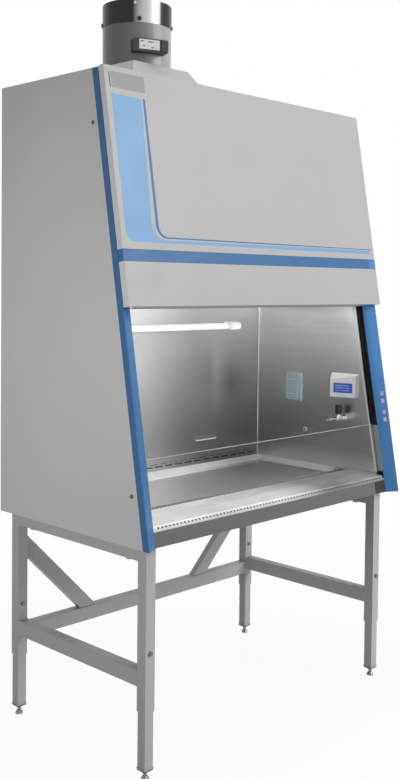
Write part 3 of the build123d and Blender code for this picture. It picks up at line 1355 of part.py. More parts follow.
cover_face = (PLATE_W - COVER_IN, PLATE_H - 2 * COVER_IN)
cover_bore = (PLATE_W - COVER_IN - 2 * COVER_SHEET, PLATE_H - 2 * COVER_IN - 2 * COVER_SHEET)
with BuildPart() as outlet_cover:
    cover_back = WALL_X - PLATE_T - SOCKET_T - COVER_GAP
    with BuildSketch(Plane.YZ.offset(cover_back - COVER_DEEP)):
        with Locations((OUTLET_Y, OUTLET_Z)):
            RectangleRounded(*cover_face, COVER_ROUND)
    extrude(amount=COVER_DEEP)
    with BuildSketch(Plane.XY.offset(ear_low + BARREL_GAP)):
        with Locations((cover_hinge_x, cover_hinge_y)):
            Circle(BARREL_R)
        with Locations((cover_hinge_x, cover_hinge_y - BARREL_R)):
            Rectangle(2 * COVER_SHEET, 2 * BARREL_R)
        with Locations((cover_hinge_x, cover_hinge_y)):
            Circle(HINGE_PIN_R + SHAFT_CLEAR, mode=Mode.SUBTRACT)
    extrude(amount=ear_high - ear_low - 2 * BARREL_GAP)
    with BuildSketch(Plane.YZ.offset(cover_back - COVER_DEEP + COVER_SHEET)):
        with Locations((OUTLET_Y, OUTLET_Z)):
            RectangleRounded(*cover_bore, COVER_ROUND - COVER_SHEET)
    extrude(amount=COVER_DEEP, mode=Mode.SUBTRACT)
save(outlet_cover, "outlet_cover")

rear_out = Vector(WALL_X - MONITOR_REAR_OUT, MONITOR_Y1 - MONITOR_REAR_IN, MONITOR_Z)
front_out = Vector(WALL_X - MONITOR_FRONT_OUT, MONITOR_Y0 + MONITOR_FRONT_IN, MONITOR_Z)
screen_dir = (rear_out - front_out).normalized()
with BuildPart() as monitor_housing:
    with BuildSketch(Plane.XY.offset(MONITOR_Z)):
        with BuildLine():
            Polyline(
                (WALL_X, MONITOR_Y0),
                (WALL_X, MONITOR_Y1),
                (rear_out.X, rear_out.Y),
                (front_out.X, front_out.Y),
                close=True,
            )
        make_face()
    extrude(amount=MONITOR_H)
    with BuildSketch(Plane.XZ.offset(-MONITOR_Y1)):
        with BuildLine():
            Polyline(
                (WALL_X, MONITOR_Z + MONITOR_H),
                (rear_out.X, MONITOR_Z + MONITOR_H - MONITOR_TOP_DROP),
                (rear_out.X, MONITOR_Z + MONITOR_H),
                close=True,
            )
        make_face()
    extrude(amount=MONITOR_Y1 - MONITOR_Y0, mode=Mode.SUBTRACT)
    screen_mid = (rear_out + front_out) * 0.5 + Vector(0, 0, SCREEN_LOW + SCREEN_H / 2)
    with BuildSketch(Plane(origin=screen_mid, x_dir=screen_dir, z_dir=screen_dir.cross(Vector(0, 0, 1)))):
        Rectangle((rear_out - front_out).length - 2 * SCREEN_BEZEL, SCREEN_H)
    extrude(amount=SCREEN_DEEP, both=True, mode=Mode.SUBTRACT)
save(monitor_housing, "monitor_housing")

stem_x = WALL_X - PETCOCK_STEM
barb_lean = degrees(atan2(BARB_R - BARB_TIP_R, BARB_L))
with BuildPart() as petcock_body:
    for reach, radius in ((ROSE_T, ROSE_R), (VALVE_L, VALVE_R)):
        with BuildSketch(Plane.YZ.offset(WALL_X - reach)):
            with Locations((PETCOCK_Y, PETCOCK_Z)):
                Circle(radius)
        extrude(amount=reach)
    for barb in range(BARBS):
        barb_foot = WALL_X - VALVE_L - barb * BARB_L
        with BuildSketch(Plane(origin=(barb_foot, PETCOCK_Y, PETCOCK_Z), x_dir=(0, 1, 0), z_dir=(-1, 0, 0))):
            RegularPolygon(BARB_R, SIDES)
        extrude(amount=BARB_L, taper=barb_lean)
    with Locations((stem_x, PETCOCK_Y, PETCOCK_Z)):
        Cylinder(NECK_R, NECK_L, align=BOTTOM_UP)
        Cylinder(STEM_R, STEM_L, align=BOTTOM_UP)
save(petcock_body, "petcock_body")

KNOB_Z = PETCOCK_Z + NECK_L + KNOB_GAP
with BuildPart() as petcock_handle:
    with BuildSketch(Plane.XY.offset(KNOB_Z)):
        with Locations((stem_x, PETCOCK_Y)):
            RegularPolygon(KNOB_R, SIDES)
    extrude(amount=KNOB_L)
    chamfer(petcock_handle.faces().sort_by(Axis.Z)[-1].edges(), KNOB_EDGE)
    with Locations((stem_x, PETCOCK_Y, KNOB_Z)):
        Cylinder(STEM_R + SHAFT_CLEAR, KNOB_BORE_L, align=BOTTOM_UP, mode=Mode.SUBTRACT)
save(petcock_handle, "petcock_handle")

control_x = WALL_X - CONTROL_IN - CONTROL_W / 2
with BuildPart() as control_box:
    with BuildSketch(FACE.offset(-PLENUM_BEHIND)):
        with Locations((control_x, CONTROL_U)):
            Rectangle(CONTROL_W, CONTROL_H)
    extrude(amount=CONTROL_D)
    chamfer(control_box.faces().sort_by(Axis((0, 0, 0), OUTWARD))[-1].edges(), CONTROL_EDGE)
save(control_box, "control_box")

with BuildPart() as power_inlet:
    with Locations((INLET_X, INLET_Y, TOP_Z)):
        Box(INLET_W, INLET_D, INLET_H, align=BOTTOM_UP)
    chamfer(power_inlet.faces().sort_by(Axis.Z)[-1].edges(), INLET_EDGE)
    with BuildSketch(Plane.XZ.offset(-INLET_Y + INLET_D / 2)):
        with Locations((INLET_X, TOP_Z + INLET_H / 2)):
            Rectangle(RECESS_W, RECESS_H)
    extrude(amount=-RECESS_D, mode=Mode.SUBTRACT)
    with BuildSketch(Plane.XZ.offset(-INLET_Y + INLET_D / 2 - RECESS_D)):
        with Locations((INLET_X, TOP_Z + INLET_H / 2)):
            with GridLocations(PIN_PITCH, 1, 3, 1):
                Rectangle(*PIN_SIZE)
    extrude(amount=PIN_L)
save(power_inlet, "power_inlet")
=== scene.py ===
"""Looks of the biosafety cabinet: finishes, small fittings, light and camera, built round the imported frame.

Everything is in metres. +Z is up, -Y is the side that the user stands at, +X is their right.
"""

import json
from math import cos, pi, radians, sin

import bmesh
import bpy
from mathutils import Matrix, Vector


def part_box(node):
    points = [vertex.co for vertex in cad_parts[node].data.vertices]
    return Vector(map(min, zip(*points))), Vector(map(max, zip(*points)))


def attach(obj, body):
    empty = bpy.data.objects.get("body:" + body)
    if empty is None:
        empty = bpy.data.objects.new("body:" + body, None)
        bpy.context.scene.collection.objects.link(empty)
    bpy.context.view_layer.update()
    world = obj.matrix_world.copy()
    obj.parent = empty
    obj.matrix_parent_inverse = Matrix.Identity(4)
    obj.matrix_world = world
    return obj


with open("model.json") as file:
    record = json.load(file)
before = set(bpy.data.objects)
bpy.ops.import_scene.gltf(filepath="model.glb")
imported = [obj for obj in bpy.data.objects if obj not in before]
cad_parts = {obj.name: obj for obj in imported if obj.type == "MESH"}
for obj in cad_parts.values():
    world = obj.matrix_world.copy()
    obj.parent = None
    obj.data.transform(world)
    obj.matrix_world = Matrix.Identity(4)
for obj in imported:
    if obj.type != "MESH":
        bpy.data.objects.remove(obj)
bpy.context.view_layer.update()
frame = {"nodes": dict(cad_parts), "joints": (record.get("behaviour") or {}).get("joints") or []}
nodes = frame["nodes"]

# ---------------------------------------------------------------------------
# Driving dimensions, and places read from the frame
# ---------------------------------------------------------------------------
POST_TIP = 0.00216          # the posts' rounding takes this off their sharp front edge
PANEL_PROUD = 0.0227        # front of the panels, in front of the posts
DECAL = 0.0003              # thickness of printed foils
SEAT = 0.0004               # how far a fitting's foot is let into what carries it
COLLAR_RISE = 0.1125        # foot of the hood's collar above the roof
WALL_RETURN = 0.010         # the chamber walls' boxes start this far inside their faces
STAND_TUBE = 0.0381         # side of the stand's square legs
RAIL_HEIGHT = 0.0508        # height of the stand's rails
SIDES = {"l": -1, "r": 1}   # sign of x on the user's left and right
CORNERS = ("fl", "fr", "rl", "rr")
UP = Vector((0, 0, 1))

sash_axis = next(j["axis"] for j in frame["joints"] if j["name"] == "sash_slide")
slope_sin, slope_cos = sash_axis[1], sash_axis[2]
base_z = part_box("base_pan")[0].z
top_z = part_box("rear_panel")[1].z
rear_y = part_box("rear_panel")[1].y
half_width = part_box("post_right")[1].x
front_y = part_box("post_left")[0].y - POST_TIP
wall_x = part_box("chamber_wall_right")[0].x + WALL_RETURN
baffle_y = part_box("rear_baffle")[0].y
stub_low, stub_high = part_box("duct_stub")
duct_x = (stub_low.x + stub_high.x) / 2
duct_y = (stub_low.y + stub_high.y) / 2
duct_r = (stub_high.x - stub_low.x) / 2
collar_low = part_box("top_panel")[1].z + COLLAR_RISE


class Sheet:
    """A flat place to build on: an origin, two directions along it and its normal."""

    def __init__(self, origin, across, up):
        self.origin = Vector(origin)
        self.across = Vector(across).normalized()
        self.up = Vector(up).normalized()
        self.normal = self.across.cross(self.up).normalized()

    def at(self, a, b, out=0.0):
        return self.origin + self.across * a + self.up * b + self.normal * out

    def shifted(self, a, b, out=0.0):
        return Sheet(self.at(a, b, out), self.across, self.up)


up_slope = Vector((0, slope_sin, slope_cos))
front = Sheet((0, front_y, base_z), (1, 0, 0), up_slope)
panel = front.shifted(0, 0, PANEL_PROUD)
left_side = Sheet((-half_width, 0, 0), (0, -1, 0), (0, 0, 1))
right_side = Sheet((half_width, 0, 0), (0, 1, 0), (0, 0, 1))
back_side = Sheet((0, rear_y, 0), (-1, 0, 0), (0, 0, 1))
right_wall = Sheet((wall_x, 0, 0), (0, -1, 0), (0, 0, 1))
left_wall = Sheet((-wall_x, 0, 0), (0, 1, 0), (0, 0, 1))
back_wall = Sheet((0, baffle_y, 0), (1, 0, 0), (0, 0, 1))


def face_sheet(name, facing):
    """Sheet on a node's largest flat face that looks roughly along `facing`, at the face's middle."""
    mesh = nodes[name].data
    facing = Vector(facing)
    looking = [polygon for polygon in mesh.polygons if polygon.normal.dot(facing) > 0.6]
    normal = max(looking, key=lambda polygon: polygon.area).normal.copy()
    reach = max(vertex.co.dot(normal) for vertex in mesh.vertices)
    rim = [vertex.co for vertex in mesh.vertices if reach - vertex.co.dot(normal) < 0.0010]
    middle = (Vector(map(min, *rim)) + Vector(map(max, *rim))) / 2
    return Sheet(middle, UP.cross(normal), UP)


def along(z, out=0.0):
    """Distance up the slope of height z, on the plane `out` in front of the posts."""
    return (z - base_z - out * slope_sin) / slope_cos


# ---------------------------------------------------------------------------
# Mesh helpers
# ---------------------------------------------------------------------------
def finish_piece(name, mesh_data, material, body, bevel=0.0):
    """Turn a bmesh into a piece with a finish that rides on a body."""
    mesh = bpy.data.meshes.new(name)
    bmesh.ops.recalc_face_normals(mesh_data, faces=mesh_data.faces[:])
    mesh_data.to_mesh(mesh)
    mesh_data.free()
    piece = bpy.data.objects.new(name, mesh)
    bpy.context.scene.collection.objects.link(piece)
    mesh.materials.append(material)
    if bevel:
        rounding = piece.modifiers.new("rounding", "BEVEL")
        rounding.width = bevel
        rounding.segments = 2
        rounding.limit_method = "ANGLE"
        rounding.angle_limit = radians(35)
    for polygon in mesh.polygons:
        polygon.use_smooth = True
    mesh.set_sharp_from_angle(angle=radians(40))
    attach(piece, body)
    return piece


def prism(name, sheet, outline, thickness, material, body, bevel=0.0, base=0.0):
    """A closed outline on a sheet, raised by a thickness."""
    shape = bmesh.new()
    low = [shape.verts.new(sheet.at(a, b, base)) for a, b in outline]
    high = [shape.verts.new(sheet.at(a, b, base + thickness)) for a, b in outline]
    shape.faces.new(low[::-1])
    shape.faces.new(high)
    for i in range(len(outline)):
        j = (i + 1) % len(outline)
        shape.faces.new((low[i], low[j], high[j], high[i]))
    return finish_piece(name, shape, material, body, bevel=bevel)


def ring(name, sheet, outer, inner, thickness, material, body, bevel=0.0, base=0.0):
    """A raised frame between two outlines that have the same number of points."""
    shape = bmesh.new()
    rows = []
    for outline in (outer, inner):
        for rise in (base, base + thickness):
            rows.append([shape.verts.new(sheet.at(a, b, rise)) for a, b in outline])
    outer_low, outer_high, inner_low, inner_high = rows
    for i in range(len(outer)):
        j = (i + 1) % len(outer)
        loops = (outer_low, outer_high, inner_high, inner_low, outer_low)
        for first, second in zip(loops, loops[1:]):
            shape.faces.new((first[i], first[j], second[j], second[i]))
    return finish_piece(name, shape, material, body, bevel=bevel)


def arc(centre, radius, start, end, steps=8):
    """Points along a circular arc, angles in degrees."""
    turn = [radians(start + (end - start) * i / steps) for i in range(steps + 1)]
    return [(centre[0] + radius * cos(t), centre[1] + radius * sin(t)) for t in turn]


def rounded(a, b, width, height, radius, steps=5):
    """Outline of a rounded rectangle centred on (a, b)."""
    w, h, points = width / 2 - radius, height / 2 - radius, []
    for sa, sb, start in ((1, 1, 0), (-1, 1, 90), (-1, -1, 180), (1, -1, 270)):
        points += arc((a + sa * w, b + sb * h), radius, start, start + 90, steps)
    return points


def lathe(name, sheet, profile, material, body, sides=24, bevel=0.0):
    """Turn a profile of (radius, height) pairs about the normal through a sheet's origin."""
    shape = bmesh.new()
    rings = []
    for radius, height in profile:
        if radius < 1e-6:
            rings.append([shape.verts.new(sheet.at(0, 0, height))])
            continue
        angles = [2 * pi * k / sides for k in range(sides)]
        rings.append([shape.verts.new(sheet.at(radius * cos(t), radius * sin(t), height)) for t in angles])
    for lower, upper in zip(rings, rings[1:]):
        for k in range(sides):
            corners = [lower[k % len(lower)], lower[(k + 1) % len(lower)]]
            corners += [upper[(k + 1) % len(upper)], upper[k % len(upper)]]
            unique = list(dict.fromkeys(corners))
            if len(unique) > 2:
                shape.faces.new(unique)
    return finish_piece(name, shape, material, body, bevel=bevel)


def swept(name, points, radius, material, body, cyclic=False):
    """A round bead or bar along a line."""
    curve = bpy.data.curves.new(name, "CURVE")
    curve.dimensions = "3D"
    curve.bevel_depth = radius
    curve.bevel_resolution = 3
    curve.use_fill_caps = True
    line = curve.splines.new("POLY")
    line.points.add(len(points) - 1)
    for spot, point in zip(line.points, points):
        spot.co = (*point, 1)
    line.use_cyclic_u = cyclic
    piece = bpy.data.objects.new(name, curve)
    bpy.context.scene.collection.objects.link(piece)
    curve.materials.append(material)
    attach(piece, body)
    return piece


# ---------------------------------------------------------------------------
# Material helpers
# ---------------------------------------------------------------------------
class Finish:
    """A material under construction: its tree, its shader and its coordinates."""

    def __init__(self, name, color, metallic=0.0, roughness=0.5):
        self.material = bpy.data.materials.new(name)
        self.material.use_nodes = True
        self.tree = self.material.node_tree
        self.shader = self.tree.nodes["Principled BSDF"]
        self.shader.inputs["Base Color"].default_value = (*color, 1)
        self.shader.inputs["Metallic"].default_value = metallic
        self.shader.inputs["Roughness"].default_value = roughness
        self.coordinates = self.node("ShaderNodeTexCoord").outputs["Object"]

    def node(self, kind, **settings):
        made = self.tree.nodes.new(kind)
        for key, value in settings.items():
            setattr(made, key, value)
        return made

    def link(self, source, target):
        self.tree.links.new(source, target)

    def put(self, source, name):
        self.link(source, self.shader.inputs[name])

    def stretch(self, scale):
        mapping = self.node("ShaderNodeMapping")
        mapping.inputs["Scale"].default_value = scale
        self.link(self.coordinates, mapping.inputs["Vector"])
        return mapping.outputs["Vector"]

    def noise(self, scale, detail=3.0, rough=0.55, stretch=None):
        made = self.node("ShaderNodeTexNoise")
        made.inputs["Scale"].default_value = scale
        made.inputs["Detail"].default_value = detail
        made.inputs["Roughness"].default_value = rough
        self.link(self.stretch(stretch) if stretch else self.coordinates, made.inputs["Vector"])
        return made.outputs["Fac"]

    def span(self, value, low, high, to_low=0.0, to_high=1.0):
        made = self.node("ShaderNodeMapRange")
        for key, number in (("From Min", low), ("From Max", high), ("To Min", to_low), ("To Max", to_high)):
            made.inputs[key].default_value = number
        self.link(value, made.inputs["Value"])
        return made.outputs["Result"]

    def math(self, operation, a, b=None, clamp=False):
        made = self.node("ShaderNodeMath", operation=operation, use_clamp=clamp)
        for socket, value in zip(made.inputs, (a, b)):
            if value is None:
                continue
            if isinstance(value, (int, float)):
                socket.default_value = value
            else:
                self.link(value, socket)
        return made.outputs[0]

    def mix(self, factor, a, b):
        made = self.node("ShaderNodeMix", data_type="RGBA")
        self.link(factor, made.inputs["Factor"])
        for key, value in (("A", a), ("B", b)):
            socket = [s for s in made.inputs if s.name == key and s.type == "RGBA"][0]
            if isinstance(value, tuple):
                socket.default_value = (*value, 1)
            else:
                self.link(value, socket)
        return [s for s in made.outputs if s.type == "RGBA"][0]

    def bump(self, height, strength, distance):
        made = self.node("ShaderNodeBump")
        made.inputs["Strength"].default_value = strength
        made.inputs["Distance"].default_value = distance
        self.link(height, made.inputs["Height"])
        return made.outputs["Normal"]

    def axis(self, name):
        split = self.node("ShaderNodeSeparateXYZ")
        self.link(self.coordinates, split.inputs[0])
        return split.outputs[name]

    def within(self, name, low, high, soft=0.0005):
        """1 where the coordinate lies between low and high, 0 outside."""
        value = self.axis(name)
        above = self.span(value, low - soft, low + soft)
        below = self.span(value, high - soft, high + soft, 1, 0)
        return self.math("MULTIPLY", above, below)


def scaled(color, factor):
    return tuple(min(1.0, channel * factor) for channel in color)


def painted(name, color, roughness=0.42, grain=0.12, coat=0.05, specular=0.35):
    """Baked paint: faint mottling, an orange-peel skin and slightly worn gloss."""
    f = Finish(name, color, roughness=roughness)
    f.shader.inputs["Specular IOR Level"].default_value = specular
    f.shader.inputs["Coat Weight"].default_value = coat
    f.shader.inputs["Coat Roughness"].default_value = 0.25
    cloud = f.noise(2.2, 4.0)
    fine = f.noise(160.0, 2.0)
    blend = f.math("ADD", f.span(cloud, 0.3, 0.7, 0, 0.7), f.span(fine, 0.3, 0.7, 0, 0.3), clamp=True)
    f.put(f.mix(blend, scaled(color, 0.965), scaled(color, 1.03)), "Base Color")
    f.put(f.span(f.noise(9.0, 5.0), 0.3, 0.7, roughness - 0.05, roughness + 0.06), "Roughness")
    f.put(f.bump(f.noise(900.0, 2.0), grain, 0.0004), "Normal")
    return f


def brushed(name, color, along_axis, roughness=0.28, grain=0.03, metallic=1.0):
    """Stainless sheet with a grain along one axis, cloudy gloss and faint wiping marks."""
    f = Finish(name, color, metallic=metallic, roughness=roughness)
    stretch = {"X": (6, 900, 900), "Y": (900, 6, 900), "Z": (900, 900, 6)}[along_axis]
    lines = f.noise(1.0, 3.0, 0.6, stretch)
    cloud = f.noise(3.0, 3.0)
    tone = f.math("ADD", f.span(lines, 0.3, 0.7, 0, 0.4), f.span(cloud, 0.3, 0.7, 0, 0.6), clamp=True)
    f.put(f.mix(tone, scaled(color, 0.96), scaled(color, 1.03)), "Base Color")
    haze = f.math("ADD", f.span(cloud, 0.3, 0.7, -0.03, 0.04), f.span(lines, 0.3, 0.7, -0.01, 0.015))
    f.put(f.math("ADD", haze, roughness), "Roughness")
    f.put(f.bump(lines, grain, 0.0002), "Normal")
    return f


def moulded(name, color, roughness=0.45, grain=0.15, scale=700.0):
    """Moulded plastic: a fine even texture and a little variation in gloss."""
    f = Finish(name, color, roughness=roughness)
    f.put(f.mix(f.span(f.noise(40.0, 3.0), 0.3, 0.7), scaled(color, 0.95), scaled(color, 1.05)), "Base Color")
    f.put(f.span(f.noise(25.0, 3.0), 0.3, 0.7, roughness - 0.05, roughness + 0.07), "Roughness")
    f.put(f.bump(f.noise(scale, 2.0), grain, 0.0003), "Normal")
    return f


def plated(name, color, roughness=0.25):
    """Plated or machined metal with fine marks in its gloss."""
    f = Finish(name, color, metallic=1.0, roughness=roughness)
    f.put(f.mix(f.span(f.noise(30.0, 4.0), 0.3, 0.7), scaled(color, 0.86), scaled(color, 1.08)), "Base Color")
    f.put(f.span(f.noise(60.0, 4.0), 0.3, 0.7, roughness - 0.07, roughness + 0.12), "Roughness")
    f.put(f.bump(f.noise(400.0, 3.0), 0.08, 0.0003), "Normal")
    return f


def galvanised(name, color=(0.40, 0.405, 0.41)):
    """Zinc-coated sheet with its crystal spangle."""
    f = Finish(name, color, metallic=0.45, roughness=0.42)
    cells = f.node("ShaderNodeTexVoronoi")
    cells.inputs["Scale"].default_value = 70.0
    f.link(f.coordinates, cells.inputs["Vector"])
    shade = f.node("ShaderNodeSeparateColor")
    f.link(cells.outputs["Color"], shade.inputs[0])
    spangle = shade.outputs[0]
    f.put(f.mix(spangle, scaled(color, 0.84), scaled(color, 1.12)), "Base Color")
    f.put(f.span(spangle, 0, 1, 0.46, 0.62), "Roughness")
    f.put(f.bump(spangle, 0.05, 0.0003), "Normal")
    return f


def dot_grid(f, first, second, pitch, radius):
    """1 inside the dots of a square grid over two coordinates."""
    total = None
    for name in (first, second):
        step = f.math("MULTIPLY", f.axis(name), 1 / pitch)
        centred = f.math("SUBTRACT", f.math("FRACT", step), 0.5)
        square = f.math("MULTIPLY", centred, centred)
        total = square if total is None else f.math("ADD", total, square)
    reach = radius / pitch
    return f.span(total, reach ** 2 * 0.7, reach ** 2 * 1.3, 1, 0)


# ---------------------------------------------------------------------------
# Finishes
# ---------------------------------------------------------------------------
PANEL_GREY = (0.52, 0.52, 0.518)
CASING_GREY = (0.46, 0.46, 0.458)
STAND_GREY = (0.37, 0.37, 0.372)
BLUE = (0.054, 0.175, 0.395)
STEEL = (0.46, 0.46, 0.458)
DUCT_GREY = (0.55, 0.55, 0.56)

paint_panel = painted("panel_paint", PANEL_GREY)
paint_casing = painted("casing_paint", CASING_GREY)
paint_black = painted("black_paint", (0.018, 0.018, 0.02), roughness=0.35, coat=0.2)
paint_white = painted("white_paint", (0.78, 0.78, 0.77))
paint_motor = painted("motor_paint", (0.06, 0.065, 0.075))
steel_small = plated("steel_small", (0.62, 0.62, 0.61), 0.2)
zinc = plated("zinc", (0.52, 0.52, 0.53), 0.3)
dark_metal = plated("dark_metal", (0.10, 0.10, 0.105), 0.28)
chrome = plated("chrome", (0.80, 0.80, 0.80), 0.14)
bolt_metal = plated("bolt_metal", (0.22, 0.22, 0.225), 0.35)
# pale paint: a painted highlight on the wall edges, and the colour of the baffle's pull bar
bright_trim = painted("bright_trim", (0.80, 0.80, 0.795), roughness=0.25, specular=0.5)
pull_grey = painted("pull_grey", (0.20, 0.20, 0.20), roughness=0.35)
sheet_zinc = galvanised("sheet_zinc")
iron = plated("weight_iron", (0.16, 0.16, 0.165), 0.55)
black_plastic = moulded("black_plastic", (0.02, 0.02, 0.022), 0.4)
white_plastic = moulded("white_plastic", (0.84, 0.84, 0.83), 0.35, 0.08)
outlet_plastic = moulded("outlet_plastic", (0.62, 0.70, 0.75), 0.35, 0.08)
key_plastic = moulded("key_plastic", (0.46, 0.42, 0.60), 0.4)
rubber = moulded("rubber", (0.02, 0.02, 0.02), 0.75, 0.4, 300.0)


def tint(f, factor):
    """Multiply the base colour by a factor that varies over the surface."""
    socket = f.shader.inputs["Base Color"]
    made = f.node("ShaderNodeVectorMath", operation="SCALE")
    f.link(socket.links[0].from_socket, made.inputs[0])
    f.link(factor, made.inputs["Scale"])
    f.link(made.outputs[0], socket)


def frontness(f):
    """1 on faces that look to the front, 0 on faces that look to a side; the mask for painted light on the
    stand and the posts.
    """
    normal = f.node("ShaderNodeSeparateXYZ")
    f.link(f.node("ShaderNodeTexCoord").outputs["Normal"], normal.inputs[0])
    return f.span(normal.outputs["Y"], -0.75, -0.35, 1.0, 0.0)


def stand_with_painted_light():
    """Stand tubes: painted light makes the front faces a shade lighter than the side faces."""
    f = painted("stand_paint", STAND_GREY, roughness=0.38, coat=0.1)
    # painted light: front faces lighter and side faces darker, in the base colour
    tint(f, f.span(frontness(f), 0, 1, 0.95, 1.42))
    return f


def posts_with_painted_light():
    """Blue posts: painted shade makes their side faces deeper, and a painted highlight makes the top of the
    right one paler.
    """
    f = painted("post_blue_painted_light", BLUE, roughness=0.35, coat=0.0, specular=0.2)
    # painted highlight on the upper part of the right post
    pale = f.math("MULTIPLY", f.span(f.axis("Z"), 0.90, 1.35), f.span(f.axis("X"), 0.60, 0.62, 0.0, 0.60))
    front = f.math("ADD", pale, 1.06)
    # painted shade on the side faces
    side = f.math("SUBTRACT", 1.0, frontness(f))
    tint(f, f.math("SUBTRACT", front, f.math("MULTIPLY", side, 0.40)))
    return f


def hood_with_painted_shade():
    """Exhaust hood: pale sheet, with a collar painted darker towards the left as painted shade."""
    f = painted("hood_grey_painted_shade", DUCT_GREY, roughness=0.34, coat=0.1)
    turn = f.math("DIVIDE", f.math("SUBTRACT", f.axis("X"), duct_x), duct_r)
    # painted shade round the collar, darkest on its left
    collar_painted_shade = f.span(turn, -0.95, 0.2, 0.22, 0.84)
    collar = f.span(f.axis("Z"), collar_low - 0.001, collar_low + 0.001)
    rest = f.math("SUBTRACT", 1.0, collar)
    tint(f, f.math("ADD", rest, f.math("MULTIPLY", collar, collar_painted_shade)))
    return f


def rear_wall_with_painted_sheen():
    """Rear wall: painted sheen in the base colour, bright at the upper left and calming towards the right,
    with a painted highlight band near the right.
    """
    f = brushed("rear_steel_painted_sheen", STEEL, "Z", roughness=0.34)
    x, z = f.axis("X"), f.axis("Z")
    # painted sheen: lighter to the left and towards the top
    lean = f.math("SUBTRACT", x, f.math("MULTIPLY", z, 0.13))
    fade = f.span(lean, -0.44, 0.04, 1.30, 0.72)
    height = f.span(z, 0.84, 1.38, 0.66, 1.18)
    # painted highlight: a vertical band near the right
    band = f.math("MULTIPLY", f.span(x, 0.30, 0.34), f.span(x, 0.35, 0.43, 1, 0))
    glow = f.math("MULTIPLY", band, f.within("Z", 1.03, 1.25, 0.08))
    shade = f.math("MULTIPLY", fade, height)
    tint(f, f.math("ADD", shade, f.math("MULTIPLY", glow, 0.28)))
    return f


def side_walls_with_painted_sheen():
    """Side walls: painted sheen in the base colour, lighter at the top with faint level bands of painted
    sheen, a painted highlight along the foot, and darker behind the sash's edge.
    """
    f = brushed("side_steel_painted_sheen", STEEL, "Y", roughness=0.34)
    z = f.axis("Z")
    # painted sheen and shade: lighter upwards, painted bands near the top, painted highlight at the foot
    fall = f.span(z, 0.95, 1.42, 0.94, 2.15)
    bands = f.span(f.noise(1.0, 2.0, 0.5, (0.6, 0.6, 26.0)), 0.3, 0.7, -0.16, 0.18)
    top = f.math("MULTIPLY", f.span(z, 1.20, 1.34), bands)
    foot = f.span(z, 0.785, 0.86, 0.75, 0.0)
    tint(f, f.math("ADD", f.math("ADD", fall, top), foot))
    return f


def tray_with_painted_highlight():
    """Work tray: even satin floor, a coved rim painted bright as a painted highlight, and fine perforation
    along its front edge.
    """
    f = brushed("tray_steel_painted_highlight", (0.50, 0.50, 0.498), "X", roughness=0.50, grain=0.02)
    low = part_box("work_tray")[0]
    # painted highlight: the raised coved rim is paler and less metallic
    raised = f.span(f.axis("Z"), low.z + 0.0085, low.z + 0.0105)
    behind = f.span(f.axis("Y"), low.y + 0.036, low.y + 0.040)
    rim = f.math("MULTIPLY", raised, behind)
    even = f.shader.inputs["Base Color"].links[0].from_socket
    dots = f.math("MULTIPLY", dot_grid(f, "X", "Y", 0.0060, 0.0019), f.math("SUBTRACT", 1.0, behind))
    pricked = f.mix(dots, even, (0.06, 0.06, 0.06))
    f.put(f.mix(rim, pricked, (0.66, 0.66, 0.655)), "Base Color")
    f.put(f.span(raised, 0, 1, 1.0, 0.20), "Metallic")
    return f


def grille_with_painted_sheen():
    """Front grille: satin airfoil with painted sheen, brightest at the left, with soft cloudy patches of
    painted sheen and a darker strip along its lower front edge.
    """
    f = brushed("grille_steel_painted_sheen", (0.90, 0.90, 0.895), "X", roughness=0.38, metallic=0.20)
    x = f.axis("X")
    cloud = f.span(f.noise(1.0, 2.0, 0.5, (5.0, 9.0, 1.0)), 0.35, 0.65, -0.14, 0.06)
    # painted sheen: near-white at the left, fading to the right, with cloudy patches
    sheen = f.math("ADD", f.span(x, 0.00, 0.24, 1.06, 0.42), cloud)
    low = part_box("front_grille")[0]
    # darker strip along the grille's lower front edge
    toe = f.math("MULTIPLY", f.span(f.axis("Y"), low.y + 0.013, low.y + 0.016, 1, 0),
                 f.span(f.axis("Z"), low.z + 0.009, low.z + 0.012, 1, 0))
    tint(f, f.math("MULTIPLY", sheen, f.span(toe, 0, 1, 1.0, 0.70)))
    return f


def duct_with_painted_highlight():
    """Dark, glossy duct sheet with a faint rolled grain, and a painted highlight: bright vertical bands
    painted into the base colour on the side facing front-left and on the opposite side.
    """
    f = brushed("duct_sheet_painted_highlight", (0.075, 0.075, 0.078), "Z", roughness=0.30, grain=0.02)
    # painted highlight: base colour raised up to 6.4 times where the sheet faces this way
    turn = radians(-114.0)
    forward = f.math("MULTIPLY", f.math("SUBTRACT", f.axis("X"), duct_x), cos(turn) / duct_r)
    sideways = f.math("MULTIPLY", f.math("SUBTRACT", f.axis("Y"), duct_y), sin(turn) / duct_r)
    facing = f.math("ABSOLUTE", f.math("ADD", forward, sideways))
    tint(f, f.span(facing, 0.91, 1.0, 0.42, 6.4))
    return f


def glass_finish():
    """Clear laminated glass that lets light through without a hard shadow."""
    f = Finish("sash_glass", (0.97, 0.98, 0.975), roughness=0.0)
    f.shader.inputs["Transmission Weight"].default_value = 1.0
    f.shader.inputs["IOR"].default_value = 1.04
    smear = f.noise(5.0, 5.0)
    f.put(f.span(smear, 0.45, 0.8, 0.0, 0.03), "Roughness")
    path = f.node("ShaderNodeLightPath")
    clear = f.node("ShaderNodeBsdfTransparent")
    clear.inputs["Color"].default_value = (0.97, 0.98, 0.975, 1)
    blend = f.node("ShaderNodeMixShader")
    through = f.math("MAXIMUM", path.outputs["Is Shadow Ray"], path.outputs["Is Diffuse Ray"])
    f.link(through, blend.inputs[0])
    f.link(f.shader.outputs[0], blend.inputs[1])
    f.link(clear.outputs[0], blend.inputs[2])
    f.link(blend.outputs[0], f.tree.nodes["Material Output"].inputs["Surface"])
    return f


